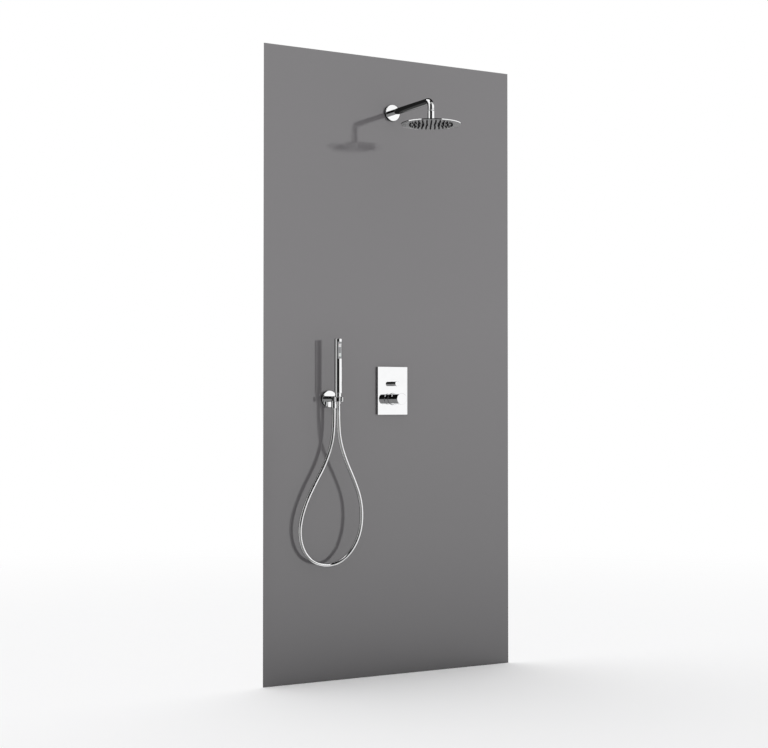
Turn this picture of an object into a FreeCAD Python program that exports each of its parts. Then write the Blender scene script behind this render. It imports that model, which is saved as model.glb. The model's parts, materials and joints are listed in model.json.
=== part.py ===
"""Concealed shower set, in millimetres.

A two-way mixer behind a trim plate, an overhead shower on a wall arm and a stick hand
shower on a wall outlet. The origin is on the finished wall at the middle of the trim
plate, with X to the right, Y into the wall and Z up. What shows has Y below 0.
"""
import FreeCAD
import Part
import Sketcher
import math
import os
import re
from FreeCAD import Placement, Rotation, Vector

# Driving dimensions. Lengths named "out" run from the wall towards the room, "r" is a
# radius, and "drop" and "rise" are measured down and up.
SIZES = {
    # Fits
    "fit_gap": 0.05,
    "run_gap": 0.08,
    "swing_gap": 0.3,
    # Trim plate
    "plate_wide": 133.0,
    "plate_tall": 186.0,
    "plate_depth": 9.0,
    "plate_wall": 2.5,
    "plate_corner": 1.5,
    "plate_round": 0.6,
    "gasket_thick": 1.0,
    "gasket_inset": 1.0,
    "gasket_wide": 9.0,
    "mixer_drop": 32.0,
    "diverter_rise": 27.0,
    # Mixer handle and sleeve
    "handle_r": 22.0,
    "handle_reach": 71.0,
    "handle_round": 1.0,
    "seam_out": 25.0,
    "seam_sphere": 30.0,
    "seam_gap": 0.6,
    "seam_bevel": 2.5,
    "sleeve_bore": 16.8,
    "sleeve_back": 2.0,
    "seal_ring": 1.4,
    "grub_r": 2.0,
    "grub_long": 8.0,
    "grub_hex": 1.0,
    "grub_deep": 2.5,
    # Mixer stem, with heights from its pivot
    "stem_r": 4.0,
    "stem_square": 6.0,
    "stem_shoulder": 8.0,
    "stem_below": 3.0,
    "stem_in_handle": 17.0,
    "tail_arm": 7.0,
    "tail_r": 1.8,
    "tail_ball": 2.4,
    "pin_r": 1.5,
    "pin_half": 7.0,
    # Mixer cartridge
    "rotor_boss": 9.5,
    "rotor_above": 5.4,
    "rotor_below": 5.3,
    "rotor_plate": 3.9,
    "rotor_slot": 6.0,
    "slide_disc_r": 8.5,
    "slide_disc_thick": 6.0,
    "pocket_deep": 4.3,
    "pocket_gap": 0.35,
    "disc_thick": 5.0,
    "port_r": 2.2,
    "port_circle": 6.5,
    "base_thick": 6.0,
    "cartridge_gasket": 1.5,
    "housing_r": 14.5,
    "housing_wall": 2.0,
    "housing_lid": 3.0,
    "housing_flange": 1.5,
    "flange_thick": 3.0,
    "nut_tall": 7.0,
    "nut_wall": 1.95,
    "neck_wall": 1.85,
    "neck_below_nut": 2.0,
    # Valve body
    "barrel_r": 22.0,
    "barrel_front": 2.0,
    "barrel_back": 58.0,
    "mix_bore": 7.0,
    "mix_deep": 40.0,
    "diverter_barrel": 16.0,
    "bridge_wide": 28.0,
    "bridge_front": 10.0,
    "pipe_depth": 30.0,
    "inlet_apart": 52.0,
    "inlet_boss": 14.0,
    "inlet_drop": 58.0,
    "inlet_r": 9.3,
    "inlet_deep": 14.0,
    "waterway_r": 5.0,
    "outlet_boss": 12.0,
    "outlet_stub": 40.0,
    "ear_wide": 124.0,
    "ear_tall": 20.0,
    "ear_thick": 6.0,
    "ear_holes": 104.0,
    "screw_hole": 2.75,
    # Diverter
    "knob_r": 10.0,
    "knob_reach": 37.0,
    "knob_round": 0.8,
    "knob_seam": 10.0,
    "knob_seam_gap": 0.4,
    "knob_spigot": 8.0,
    "knob_spigot_back": 8.0,
    "spindle_r": 3.0,
    "spindle_in_knob": 12.0,
    "knob_grub_r": 1.5,
    "knob_grub_long": 5.0,
    "knob_grub_hex": 0.8,
    "knob_grub_out": 18.0,
    "bush_r": 10.0,
    "bush_neck": 8.6,
    "bush_front": 3.0,
    "bush_lid": 9.0,
    "bush_back": 30.0,
    "bush_bore": 7.5,
    "collar_thick": 4.0,
    "collar_deep": 22.0,
    "seal_chamber": 9.0,
    "chamber_deep": 52.0,
    "seal_deep": 41.0,
    "seal_thick": 3.0,
    "spindle_head": 5.0,
    "spindle_head_thick": 2.0,
    "spring_r": 5.2,
    "spring_wire": 0.5,
    "spring_turns": 5.0,
    # Concealed pipes and drop-ear elbows
    "pipe_r": 7.5,
    "pipe_wall": 1.0,
    "pipe_bend": 22.0,
    "socket_deep": 12.0,
    "elbow_r": 14.0,
    "elbow_face": 8.0,
    "elbow_back": 44.0,
    "elbow_leg_r": 11.0,
    "elbow_leg": 30.0,
    "elbow_ear_wide": 68.0,
    "elbow_ear_tall": 16.0,
    "elbow_holes": 50.0,
    "thread_r": 10.4,
    "thread_deep": 14.0,
    "thread_in": 12.0,
    # Wall flanges of the arm and the outlet
    "flange_r": 32.0,
    "flange_deep": 12.0,
    "flange_wall": 2.5,
    "flange_round": 2.0,
    # Shower arm
    "arm_rise": 1085.0,
    "arm_out": 295.0,
    "arm_r": 12.0,
    "arm_wall": 2.0,
    "arm_bend": 24.0,
    "arm_drop": 30.6,
    "tube_start": 2.0,
    "stub_bore": 7.0,
    # Ball joint, with heights from the middle of the ball
    "nipple_in": 6.0,
    "arm_seal_thick": 1.0,
    "collar_above": 13.2,
    "collar_tall": 5.2,
    "neck_r": 5.5,
    "ball_r": 10.0,
    "ball_bore": 3.5,
    "head_nut_r": 12.5,
    "head_nut_above": 10.0,
    "head_nut_below": 6.0,
    "head_nut_mouth": 8.5,
    "lap_above": 4.0,
    "lap_r": 11.4,
    "lap_wall": 1.0,
    "seat_thick": 1.82,
    "seat_top": 8.4,
    "seat_bore": 3.6,
    "seat_gap": 0.1,
    # Overhead shower
    "head_r": 112.5,
    "head_drop": 41.0,
    "rim_thick": 3.0,
    "dome_rise": 8.0,
    "shell_wall": 1.0,
    "face_thick": 1.0,
    "face_inset": 0.2,
    "passage_r": 4.0,
    "restrictor_bore": 1.5,
    "restrictor_tall": 3.0,
    "restrictor_drop": 15.0,
    "mat_r": 88.0,
    "mat_thick": 1.5,
    "nozzle_pitch": 16.0,
    "nozzle_r": 2.8,
    "nozzle_out": 4.0,
    "head_seal_wide": 4.0,
    # Wall outlet, with heights from its axis
    "outlet_left": 277.5,
    "outlet_r": 12.0,
    "outlet_out": 45.0,
    "outlet_front": 58.5,
    "outlet_bore": 7.0,
    "check_valve_out": 6.0,
    "check_valve_long": 16.0,
    "check_valve_bore": 4.0,
    "spigot_r": 10.3,
    "spigot_drop": 16.0,
    "spigot_thread": 8.3,
    "spigot_thread_long": 10.0,
    "hose_nut_r": 10.3,
    "hose_nut_drop": 35.0,
    "washer_thick": 1.5,
    "ferrule_flange": 8.2,
    "ferrule_flange_thick": 2.0,
    "ferrule_drop": 38.0,
    # Holder
    "holder_out": 80.0,
    "holder_r": 20.5,
    "holder_above": 7.5,
    "holder_below": 11.0,
    "holder_round": 1.2,
    "holder_neck": 8.5,
    "holder_stub": 6.0,
    "holder_stub_long": 7.0,
    "liner_wall": 1.5,
    "slot_wide": 15.0,
    "holder_grub_r": 1.25,
    "holder_grub_hex": 0.6,
    "holder_grub_back": 2.2,
    "holder_grub_long": 5.0,
    # Hose
    "hose_r": 7.0,
    "hose_bore": 4.5,
    # Cone nut and swivel, with heights from the outlet axis
    "cone_top": 21.0,
    "cone_start": 9.0,
    "cone_large": 11.8,
    "cone_small": 7.6,
    "cone_bottom": 20.0,
    "swivel_seat": 6.0,
    "swivel_flange": 2.5,
    "swivel_r": 6.5,
    "swivel_drop": 23.0,
    "swivel_bore": 4.0,
    "filter_thick": 2.3,
    # Hand shower
    "stick_r": 14.2,
    "stick_long": 205.5,
    "stick_wall": 2.0,
    "stick_round": 1.5,
    "connector_tall": 14.0,
    "connector_bore": 5.0,
    "cap_thick": 3.0,
    "cap_plug": 6.0,
    "cap_round": 1.5,
    "feed_r": 5.5,
    "feed_wall": 1.0,
    "window_wide": 17.0,
    "window_tall": 64.0,
    "window_down": 8.5,
    "spray_thick": 1.7,
    "chamber_wall": 1.6,
    "chamber_floor": 3.0,
    "pad_wide": 10.0,
    "pad_tall": 12.5,
    "pad_apart": 35.5,
    "jet_r": 0.9,
    "jet_out": 1.0,
    "jet_pitch": 3.5,
}

NOZZLE_RINGS = 5
JET_COLUMNS = 2
JET_ROWS = 4

# The hose's route: hand-chosen points, left, out of the wall and up from the outlet axis.
HOSE_ROUTE = [
    (0, 45, -38),
    (0, 45, -112),
    (-11.5, 43, -183),
    (-38.5, 41, -253),
    (-79, 39.5, -321),
    (-115, 38, -391),
    (-137.5, 37, -461),
    (-139, 36, -525),
    (-117, 35.5, -583),
    (-74, 36.5, -619),
    (-21, 41, -629),
    (27, 50, -616),
    (68.5, 61, -576),
    (96.5, 69.5, -517),
    (106, 73.5, -448),
    (97.5, 75, -375),
    (69, 76, -304),
    (34.5, 77.5, -235),
    (8.5, 79.5, -165),
    (0, 80, -95),
    (0, 80, -23),
]

UP = Vector(0, 0, 1)
DOWN = Vector(0, 0, -1)
OUT = Vector(0, -1, 0)
LEFT = Vector(-1, 0, 0)
RIGHT = Vector(1, 0, 0)

doc = FreeCAD.newDocument("concealed_shower_set")
sheet = doc.addObject("Spreadsheet::Sheet", "size")
for row, (alias, value) in enumerate(SIZES.items(), 1):
    sheet.set("A%d" % row, alias)
    sheet.set("B%d" % row, str(value))
    sheet.setAlias("B%d" % row, alias)
doc.recompute()

pieces = []


def bound(text):
    """The expression for some arithmetic on size names."""
    return re.sub(r"[a-z]\w*", lambda m: "size." + m.group() if m.group() in SIZES else m.group(), text)


def bind(obj, **properties):
    """Tie an object's properties to the sheet."""
    for name, text in properties.items():
        obj.setExpression(name, bound(text))
    return obj


def place(obj, at, facing=UP, start="0"):
    """Turn an object's Z towards facing and put it at a point, start further that way."""
    if facing == OUT:
        rotation = Rotation(RIGHT, 90)
    elif facing == DOWN:
        rotation = Rotation(RIGHT, 180)
    else:
        rotation = Rotation(UP, facing)
    obj.Placement = Placement(Vector(), rotation)
    for axis, base, share in zip("xyz", at, facing):
        obj.setExpression("Placement.Base." + axis, bound("%s + (%s) * %d" % (base, start, share)))
    return obj


def piece(label, obj):
    """Register a finished sub-part under the name of its file."""
    obj.Label = label
    pieces.append(obj)
    return obj


def rod(radius, start, end, at, facing=UP):
    """A cylinder from start to end along facing."""
    obj = doc.addObject("Part::Cylinder", "rod")
    bind(obj, Radius=radius, Height="%s - (%s)" % (end, start))
    return place(obj, at, facing, start)


def block(x, y, z):
    """A box between pairs of low and high sides."""
    obj = doc.addObject("Part::Box", "block")
    sides = {"Length": x, "Width": y, "Height": z}
    bind(obj, **{name: "%s - (%s)" % (high, low) for name, (low, high) in sides.items()})
    return place(obj, (x[0], y[0], z[0]))


def ball(radius, at):
    """A sphere."""
    return place(bind(doc.addObject("Part::Sphere", "ball"), Radius=radius), at)


def bend(bend_r, tube_r, at, first, second):
    """A quarter bend of a round bar about at, from the first direction to the second."""
    obj = doc.addObject("Part::Torus", "bend")
    obj.Angle3 = 90
    bind(obj, Radius1=bend_r, Radius2=tube_r)
    place(obj, at)
    obj.Placement = Placement(obj.Placement.Base, Rotation(first, second, first.cross(second), "XYZ"))
    return obj


def fuse(*shapes):
    """One solid from several."""
    obj = doc.addObject("Part::MultiFuse", "fuse")
    obj.Shapes = list(shapes)
    obj.Refine = True
    return obj


def cut(base, *tools):
    """A solid less others."""
    obj = doc.addObject("Part::Cut", "cut")
    obj.Base = base
    obj.Tool = tools[0] if len(tools) == 1 else fuse(*tools)
    return obj


def common(first, second):
    """What two solids share."""
    obj = doc.addObject("Part::Common", "common")
    obj.Base = first
    obj.Tool = second
    return obj


def group(*shapes):
    """Like solids that share a file."""
    obj = doc.addObject("Part::Compound", "group")
    obj.Links = list(shapes)
    return obj


def plane_of(body, role):
    """One of a body's own origin planes."""
    return next(f for f in body.Origin.OriginFeatures if f.Role == role)


def polygon(body, points, role, name):
    """A sketch of straight sides whose corners are tied to the sheet."""
    sketch = body.newObject("Sketcher::SketchObject", name)
    sketch.AttachmentSupport = [(plane_of(body, role), "")]
    sketch.MapMode = "FlatFace"
    count = len(points)
    turns = [2 * math.pi * k / count for k in range(count)]
    start = [Vector(math.cos(turn), math.sin(turn)) for turn in turns]
    for k in range(count):
        sketch.addGeometry(Part.LineSegment(start[k], start[(k + 1) % count]), False)
    for k in range(count):
        sketch.addConstraint(Sketcher.Constraint("Coincident", k, 2, (k + 1) % count, 1))
    for k, (across, along) in enumerate(points):
        for kind, text in (("DistanceX", across), ("DistanceY", along)):
            number = sketch.addConstraint(Sketcher.Constraint(kind, -1, 1, k, 1, 1.0))
            sketch.setExpression("Constraints[%d]" % number, bound(text))
    return sketch


def turned(profile, at, facing=UP):
    """A body turned from corners of radius and height, with an optional rounding each."""
    body = doc.addObject("PartDesign::Body", "turned")
    sketch = polygon(body, [corner[:2] for corner in profile], "XZ_Plane", "profile")
    turning = body.newObject("PartDesign::Revolution", "turning")
    turning.Profile = sketch
    turning.ReferenceAxis = (sketch, ["V_Axis"])
    turning.Angle = 360
    place(body, at, facing)
    doc.recompute()
    for number, corner in enumerate(profile):
        if len(corner) == 3:
            round_edge(body, sketch.getPoint(number, 1), corner[2])
    return body


def round_edge(body, corner, radius):
    """Round the ring that a corner of the profile sweeps."""
    for number, edge in enumerate(body.Tip.Shape.Edges, 1):
        circle = edge.Curve
        if not isinstance(circle, Part.Circle):
            continue
        apart = Vector(circle.Radius - corner.x, circle.Center.z - corner.y)
        if apart.Length < 1e-4 and abs(circle.Axis.z) > 0.5:
            base = body.Tip
            fillet = body.newObject("PartDesign::Fillet", "round")
            fillet.Base = (base, ["Edge%d" % number])
            bind(fillet, Radius=radius)
            body.Tip = fillet
            doc.recompute()
            return
    raise ValueError("no edge at %s" % corner)


def ring(inner, outer, start, end, at, facing=UP):
    """A plain turned ring."""
    return turned([(inner, start), (outer, start), (outer, end), (inner, end)], at, facing)


def grub(radius, hexagon, deep, start, end, at):
    """A set screw that goes up into a boss, with a hexagon socket in its lower end."""
    socket = doc.addObject("Part::Prism", "socket")
    socket.Polygon = 6
    bind(socket, Circumradius=hexagon, Height=deep)
    place(socket, at, DOWN, "%s - (%s)" % (end, deep))
    return cut(rod(radius, start, end, at, DOWN), socket)


# Places that several pieces share
MIXER = ("0", "0", "-mixer_drop")
DIVERTER = ("0", "0", "diverter_rise")
ARM = ("0", "0", "arm_rise")
OUTLET = ("-outlet_left", "0", "-mixer_drop")
PLATE_FRONT = "(gasket_thick + plate_depth)"
SEAM_EDGE = "sqrt(seam_sphere ^ 2 - handle_r ^ 2)"
PIVOT = "(%s + seam_out - %s)" % (PLATE_FRONT, SEAM_EDGE)
PIVOT_POINT = ("0", "-" + PIVOT, "-mixer_drop")


def from_pivot(text):
    """A distance from the wall, given from the stem's pivot."""
    return "%s + %s" % (PIVOT, text)


# Heights along the mixer cartridge, from its base to its lid
SLIDE_TOP = from_pivot("-rotor_below - swing_gap")
SLIDE_BOTTOM = SLIDE_TOP + " - slide_disc_thick"
DISC_TOP = SLIDE_BOTTOM + " - fit_gap"
DISC_BOTTOM = DISC_TOP + " - disc_thick"
BASE_BOTTOM = DISC_BOTTOM + " - base_thick"
SOCKET_FLOOR = BASE_BOTTOM + " - cartridge_gasket"
LID_BOTTOM = from_pivot("-rotor_below + rotor_plate + swing_gap")
LID_TOP = LID_BOTTOM + " + housing_lid"
FLANGE_BOTTOM = DISC_TOP + " - swing_gap"
FLANGE_TOP = FLANGE_BOTTOM + " + flange_thick"
NUT_TOP = FLANGE_TOP + " + nut_tall"
NECK_TOP = NUT_TOP + " - neck_below_nut"
CAVITY = "housing_r - housing_wall"
NUT_R = "housing_r + fit_gap + nut_wall"
NECK_R = NUT_R + " + fit_gap + neck_wall"


# Trim plate: a pan of chromed brass whose hollow back lies on a foam gasket
def upright_plate(wide, tall, start, end, corner):
    """A padded rectangle about the origin, standing out of the wall."""
    body = doc.addObject("PartDesign::Body", "plate")
    right = "(%s) / 2" % wide
    top = "(%s) / 2" % tall
    corners = [("-" + right, "-" + top), (right, "-" + top), (right, top), ("-" + right, top)]
    sketch = polygon(body, corners, "XY_Plane", "outline")
    pad = body.newObject("PartDesign::Pad", "pad")
    pad.Profile = sketch
    bind(pad, Length="%s - (%s)" % (end, start))
    place(body, ("0", "0", "0"), OUT, start)
    doc.recompute()
    if corner:
        upright = [k for k, e in enumerate(pad.Shape.Edges, 1) if abs(e.tangentAt(e.FirstParameter).z) > 0.5]
        fillet = body.newObject("PartDesign::Fillet", "corners")
        fillet.Base = (pad, ["Edge%d" % k for k in upright])
        bind(fillet, Radius=corner)
        body.Tip = fillet
        doc.recompute()
        front = max(face.CenterOfMass.z for face in fillet.Shape.Faces)
        rim = [k for k, e in enumerate(fillet.Shape.Edges, 1)
               if e.BoundBox.ZLength < 1e-4 and abs(e.BoundBox.Center.z - front) < 1e-4]
        soft = body.newObject("PartDesign::Fillet", "front_round")
        soft.Base = (fillet, ["Edge%d" % k for k in rim])
        bind(soft, Radius="plate_round")
        body.Tip = soft
        doc.recompute()
    return body


plate_blank = upright_plate("plate_wide", "plate_tall", "gasket_thick", PLATE_FRONT, "plate_corner")
plate_hollow = upright_plate("plate_wide - 2 * plate_wall", "plate_tall - 2 * plate_wall",
                             "0", PLATE_FRONT + " - plate_wall", None)
SLEEVE_HOLE = "handle_r + seal_ring"
KNOB_HOLE = "knob_r + swing_gap"
piece("trim_plate", cut(
    plate_blank,
    plate_hollow,
    rod(SLEEVE_HOLE, "0", PLATE_FRONT + " + gasket_thick", MIXER, OUT),
    rod(KNOB_HOLE, "0", PLATE_FRONT + " + gasket_thick", DIVERTER, OUT),
))
gasket_out = upright_plate("plate_wide - 2 * gasket_inset", "plate_tall - 2 * gasket_inset",
                           "0", "gasket_thick", None)
gasket_hole = upright_plate("plate_wide - 2 * gasket_wide", "plate_tall - 2 * gasket_wide",
                            "-gasket_thick", "2 * gasket_thick", None)
piece("plate_gasket", cut(gasket_out, gasket_hole))

# Mixer sleeve: screwed over the valve's neck, its front edge ground to the seam sphere
SLEEVE_TOP = from_pivot("seam_sphere")
SHOULDER = NECK_TOP + " + swing_gap"
sleeve_tube = turned([
    (NECK_R + " + fit_gap", "sleeve_back"),
    ("handle_r", "sleeve_back"),
    ("handle_r", SLEEVE_TOP),
    ("sleeve_bore", SLEEVE_TOP),
    ("sleeve_bore", SHOULDER),
    (NECK_R + " + fit_gap", SHOULDER),
], MIXER, OUT)
piece("mixer_sleeve", common(sleeve_tube, ball("seam_sphere - seam_gap", PIVOT_POINT)))
piece("sleeve_seal", ring("handle_r + fit_gap", SLEEVE_HOLE + " - fit_gap",
                          PLATE_FRONT + " - plate_wall", PLATE_FRONT + " - plate_round", MIXER, OUT))

# Mixer handle: a solid drum with a bevelled back edge, hollowed to the seam sphere and
# bored for the stem
HANDLE_FRONT = "%s + handle_reach" % PLATE_FRONT
STEM_TOP = from_pivot("seam_sphere + stem_in_handle")
GRUB_OUT = from_pivot("seam_sphere + stem_in_handle / 2")
BEVEL_R = "handle_r - seam_bevel"
BEVEL_BACK = from_pivot("sqrt(seam_sphere ^ 2 - (%s) ^ 2) + swing_gap" % BEVEL_R)
drum = turned([
    ("0", PIVOT),
    (BEVEL_R, PIVOT),
    (BEVEL_R, BEVEL_BACK),
    ("handle_r", BEVEL_BACK + " + seam_bevel"),
    ("handle_r", HANDLE_FRONT, "handle_round"),
    ("0", HANDLE_FRONT),
], MIXER, OUT)
HANDLE_GRUB = ("0", "-(%s)" % GRUB_OUT, "-mixer_drop")
piece("mixer_handle", cut(
    drum,
    ball("seam_sphere", PIVOT_POINT),
    rod("stem_r + fit_gap", PIVOT, STEM_TOP + " + fit_gap", MIXER, OUT),
    rod("grub_r + fit_gap", "0", "handle_r + swing_gap", HANDLE_GRUB, DOWN),
))
piece("handle_grub_screw", grub("grub_r", "grub_hex", "grub_deep", "stem_r + fit_gap",
                                "stem_r + fit_gap + grub_long", HANDLE_GRUB))

# Mixer stem: a round spindle with a square root on the pin and a ball tail in the disc
half_square = "stem_square / 2"
root_block = block(("-" + half_square, half_square),
                   ("-(%s)" % from_pivot("stem_shoulder"), "-(%s)" % from_pivot("-stem_below")),
                   ("-mixer_drop - " + half_square, "-mixer_drop + " + half_square))
piece("mixer_stem", cut(
    fuse(
        rod("stem_r", from_pivot("stem_shoulder"), STEM_TOP, MIXER, OUT),
        root_block,
        rod("tail_r", from_pivot("-tail_arm"), from_pivot("-stem_below"), MIXER, OUT),
        ball("tail_ball", ("0", "-(%s)" % from_pivot("-tail_arm"), "-mixer_drop")),
    ),
    rod("pin_r + run_gap", "-stem_square", "stem_square", PIVOT_POINT, RIGHT),
))
piece("stem_pin", rod("pin_r", "-pin_half", "pin_half", PIVOT_POINT, RIGHT))

# Mixer cartridge
rotor_blank = turned([
    ("0", from_pivot("-rotor_below")),
    (CAVITY + " - swing_gap", from_pivot("-rotor_below")),
    (CAVITY + " - swing_gap", from_pivot("-rotor_below + rotor_plate")),
    ("rotor_boss", from_pivot("-rotor_below + rotor_plate")),
    ("rotor_boss", from_pivot("rotor_above")),
    ("0", from_pivot("rotor_above")),
], MIXER, OUT)
half_slot = "(stem_square / 2 + 2 * run_gap)"
rotor_slot = block(("-" + half_slot, half_slot),
                   ("-(%s)" % from_pivot("2 * rotor_above"), "-(%s)" % from_pivot("-2 * rotor_below")),
                   ("-mixer_drop - rotor_slot", "-mixer_drop + rotor_slot"))
piece("cartridge_rotor", cut(
    rotor_blank,
    rotor_slot,
    rod("pin_r + fit_gap", "-pin_half - fit_gap", "pin_half + fit_gap", PIVOT_POINT, RIGHT),
))
piece("moving_disc", cut(
    rod("slide_disc_r", SLIDE_BOTTOM, SLIDE_TOP, MIXER, OUT),
    rod("tail_ball + pocket_gap", SLIDE_TOP + " - pocket_deep", SLIDE_TOP + " + swing_gap", MIXER, OUT),
))


def ports(start, end):
    """The hot, cold and mixed waterways through the cartridge's lower discs."""
    half = "port_circle * 0.866"
    across = (("-" + half, "port_circle / 2"), (half, "port_circle / 2"), ("0", "-port_circle"))
    return [rod("port_r", start, end, (x, "0", "-mixer_drop + " + z), OUT) for x, z in across]


piece("fixed_disc", cut(rod(CAVITY + " - fit_gap", DISC_BOTTOM, DISC_TOP, MIXER, OUT),
                        *ports(SOCKET_FLOOR, SLIDE_TOP)))
piece("cartridge_base", cut(rod(CAVITY + " - fit_gap", BASE_BOTTOM, DISC_BOTTOM, MIXER, OUT),
                            *ports(SOCKET_FLOOR, SLIDE_TOP)))
piece("cartridge_gasket", cut(rod("housing_r", SOCKET_FLOOR, BASE_BOTTOM, MIXER, OUT),
                              *ports(SOCKET_FLOOR + " - fit_gap", SLIDE_TOP)))
piece("cartridge_housing", turned([
    (CAVITY, BASE_BOTTOM),
    ("housing_r", BASE_BOTTOM),
    ("housing_r", FLANGE_BOTTOM),
    ("housing_r + housing_flange", FLANGE_BOTTOM),
    ("housing_r + housing_flange", FLANGE_TOP),
    ("housing_r", FLANGE_TOP),
    ("housing_r", LID_TOP),
    ("rotor_boss + run_gap", LID_TOP),
    ("rotor_boss + run_gap", LID_BOTTOM),
    (CAVITY, LID_BOTTOM),
], MIXER, OUT))
piece("cartridge_nut", ring("housing_r + fit_gap", NUT_R, FLANGE_TOP, NUT_TOP, MIXER, OUT))

# Valve body: a brass casting with the two barrels, their bridge, inlets, outlets and ears
PIPE_Y = "pipe_depth"
half_bridge = "bridge_wide / 2"
half_ear = "ear_wide / 2"
half_tall = "ear_tall / 2"
inlets = [("%s * inlet_apart / 2" % side, PIPE_Y, "-mixer_drop") for side in ("-1", "1")]
TOP_OUTLET = ("0", PIPE_Y, "diverter_rise")
SEAL_END = "-chamber_deep"
valve_solid = fuse(
    rod("barrel_r", "-barrel_back", "-barrel_front", MIXER, OUT),
    rod(NECK_R, "-barrel_front", NECK_TOP, MIXER, OUT),
    rod("diverter_barrel", "-barrel_back", "-barrel_front", DIVERTER, OUT),
    block(("-" + half_bridge, half_bridge), ("bridge_front", "barrel_back"),
          ("-mixer_drop", "diverter_rise")),
    block(("-" + half_ear, half_ear), ("pipe_depth + ear_thick", "pipe_depth + 2 * ear_thick"),
          ("-" + half_tall, half_tall)),
    rod("outlet_boss", "0", "outlet_stub", TOP_OUTLET, UP),
    rod("outlet_boss", "0", "outlet_stub", TOP_OUTLET, LEFT),
    *[rod("inlet_boss", "0", "inlet_drop", at, DOWN) for at in inlets],
)
ear_holes = [rod("screw_hole", "-barrel_back", "0", ("%s * ear_holes / 2" % side, "0", "0"), OUT)
             for side in ("-1", "1")]
piece("valve_body", cut(
    valve_solid,
    rod("housing_r + fit_gap", SOCKET_FLOOR, NECK_TOP, MIXER, OUT),
    rod(NUT_R + " + fit_gap", FLANGE_BOTTOM, NECK_TOP + " + fit_gap", MIXER, OUT),
    rod("mix_bore", "-mix_deep", SOCKET_FLOOR, MIXER, OUT),
    rod("bush_r + fit_gap", "-bush_back", "0", DIVERTER, OUT),
    rod("seal_chamber", SEAL_END, "-bush_back", DIVERTER, OUT),
    rod("waterway_r", "-mixer_drop", "diverter_rise", ("0", "(mix_deep - mix_bore)", "0")),
    rod("waterway_r", "0", "outlet_stub", TOP_OUTLET, UP),
    rod("waterway_r", "0", "outlet_stub", TOP_OUTLET, LEFT),
    rod("pipe_r + fit_gap", "outlet_stub - socket_deep", "outlet_stub + fit_gap", TOP_OUTLET, UP),
    rod("pipe_r + fit_gap", "outlet_stub - socket_deep", "outlet_stub + fit_gap", TOP_OUTLET, LEFT),
    *ear_holes,
    *[rod("waterway_r", "barrel_r", "inlet_drop", at, DOWN) for at in inlets],
    *[rod("inlet_r", "inlet_drop - inlet_deep", "inlet_drop + fit_gap", at, DOWN) for at in inlets],
))

# Diverter: a spring-loaded spindle in a brass bush, pulled by the small knob
KNOB_FRONT = "%s + knob_reach" % PLATE_FRONT
KNOB_SEAM = "%s + knob_seam" % PLATE_FRONT
SPINDLE_TOP = "%s + spindle_in_knob" % KNOB_SEAM
piece("diverter_housing", turned([
    ("spindle_r + run_gap", "bush_front"),
    ("bush_neck", "bush_front"),
    ("bush_neck", "-barrel_front"),
    ("bush_r", "-barrel_front"),
    ("bush_r", "-bush_back"),
    ("bush_bore", "-bush_back"),
    ("bush_bore", "bush_front - bush_lid"),
    ("spindle_r + run_gap", "bush_front - bush_lid"),
], DIVERTER, OUT))
piece("diverter_sleeve", turned([
    ("bush_neck + fit_gap", "-barrel_front + fit_gap"),
    ("knob_r", "-barrel_front + fit_gap"),
    ("knob_r", KNOB_SEAM),
    ("knob_spigot + swing_gap", KNOB_SEAM),
    ("knob_spigot + swing_gap", "bush_front"),
    ("bush_neck + fit_gap", "bush_front"),
], DIVERTER, OUT))
KNOB_GRUB = ("0", "-(%s + knob_grub_out)" % PLATE_FRONT, "diverter_rise")
knob_blank = turned([
    ("0", "knob_spigot_back"),
    ("knob_spigot", "knob_spigot_back"),
    ("knob_spigot", KNOB_SEAM + " + knob_seam_gap"),
    ("knob_r", KNOB_SEAM + " + knob_seam_gap"),
    ("knob_r", KNOB_FRONT, "knob_round"),
    ("0", KNOB_FRONT),
], DIVERTER, OUT)
piece("diverter_knob", cut(
    knob_blank,
    rod("spindle_r + fit_gap", "0", SPINDLE_TOP + " + fit_gap", DIVERTER, OUT),
    rod("knob_grub_r + fit_gap", "0", "knob_r + swing_gap", KNOB_GRUB, DOWN),
))
piece("knob_grub_screw", grub("knob_grub_r", "knob_grub_hex", "knob_grub_long / 2", "spindle_r + fit_gap",
                              "spindle_r + fit_gap + knob_grub_long", KNOB_GRUB))
SEAL_FRONT = "-seal_deep"
SEAL_BACK = "-seal_deep - seal_thick"
piece("diverter_spindle", turned([
    ("0", SEAL_BACK + " - spindle_head_thick"),
    ("spindle_head", SEAL_BACK + " - spindle_head_thick"),
    ("spindle_head", SEAL_BACK),
    ("spindle_r", SEAL_BACK),
    ("spindle_r", "-collar_deep - collar_thick"),
    ("bush_bore - swing_gap", "-collar_deep - collar_thick"),
    ("bush_bore - swing_gap", "-collar_deep"),
    ("spindle_r", "-collar_deep"),
    ("spindle_r", SPINDLE_TOP),
    ("0", SPINDLE_TOP),
], DIVERTER, OUT))
piece("diverter_seal", ring("spindle_r + fit_gap", "seal_chamber - swing_gap",
                            SEAL_BACK, SEAL_FRONT, DIVERTER, OUT))

# Diverter spring: round wire wound between the spindle's collar and the bush's lid
SPRING_LONG = "(collar_deep + bush_front - bush_lid - 2 * spring_wire - 2 * fit_gap)"
coil = doc.addObject("Part::Helix", "coil")
bind(coil, Radius="spring_r", Height=SPRING_LONG, Pitch=SPRING_LONG + " / spring_turns")
place(coil, DIVERTER, OUT, "-collar_deep + spring_wire + fit_gap")
wire = doc.addObject("Part::Circle", "wire")
bind(wire, Radius="spring_wire")
place(wire, ("spring_r", "collar_deep - spring_wire - fit_gap", "diverter_rise"), UP)
spring = doc.addObject("Part::Sweep", "spring")
spring.Sections = [wire]
spring.Spine = (coil, ["Edge1"])
spring.Solid = True
spring.Frenet = True
piece("diverter_spring", spring)


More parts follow.
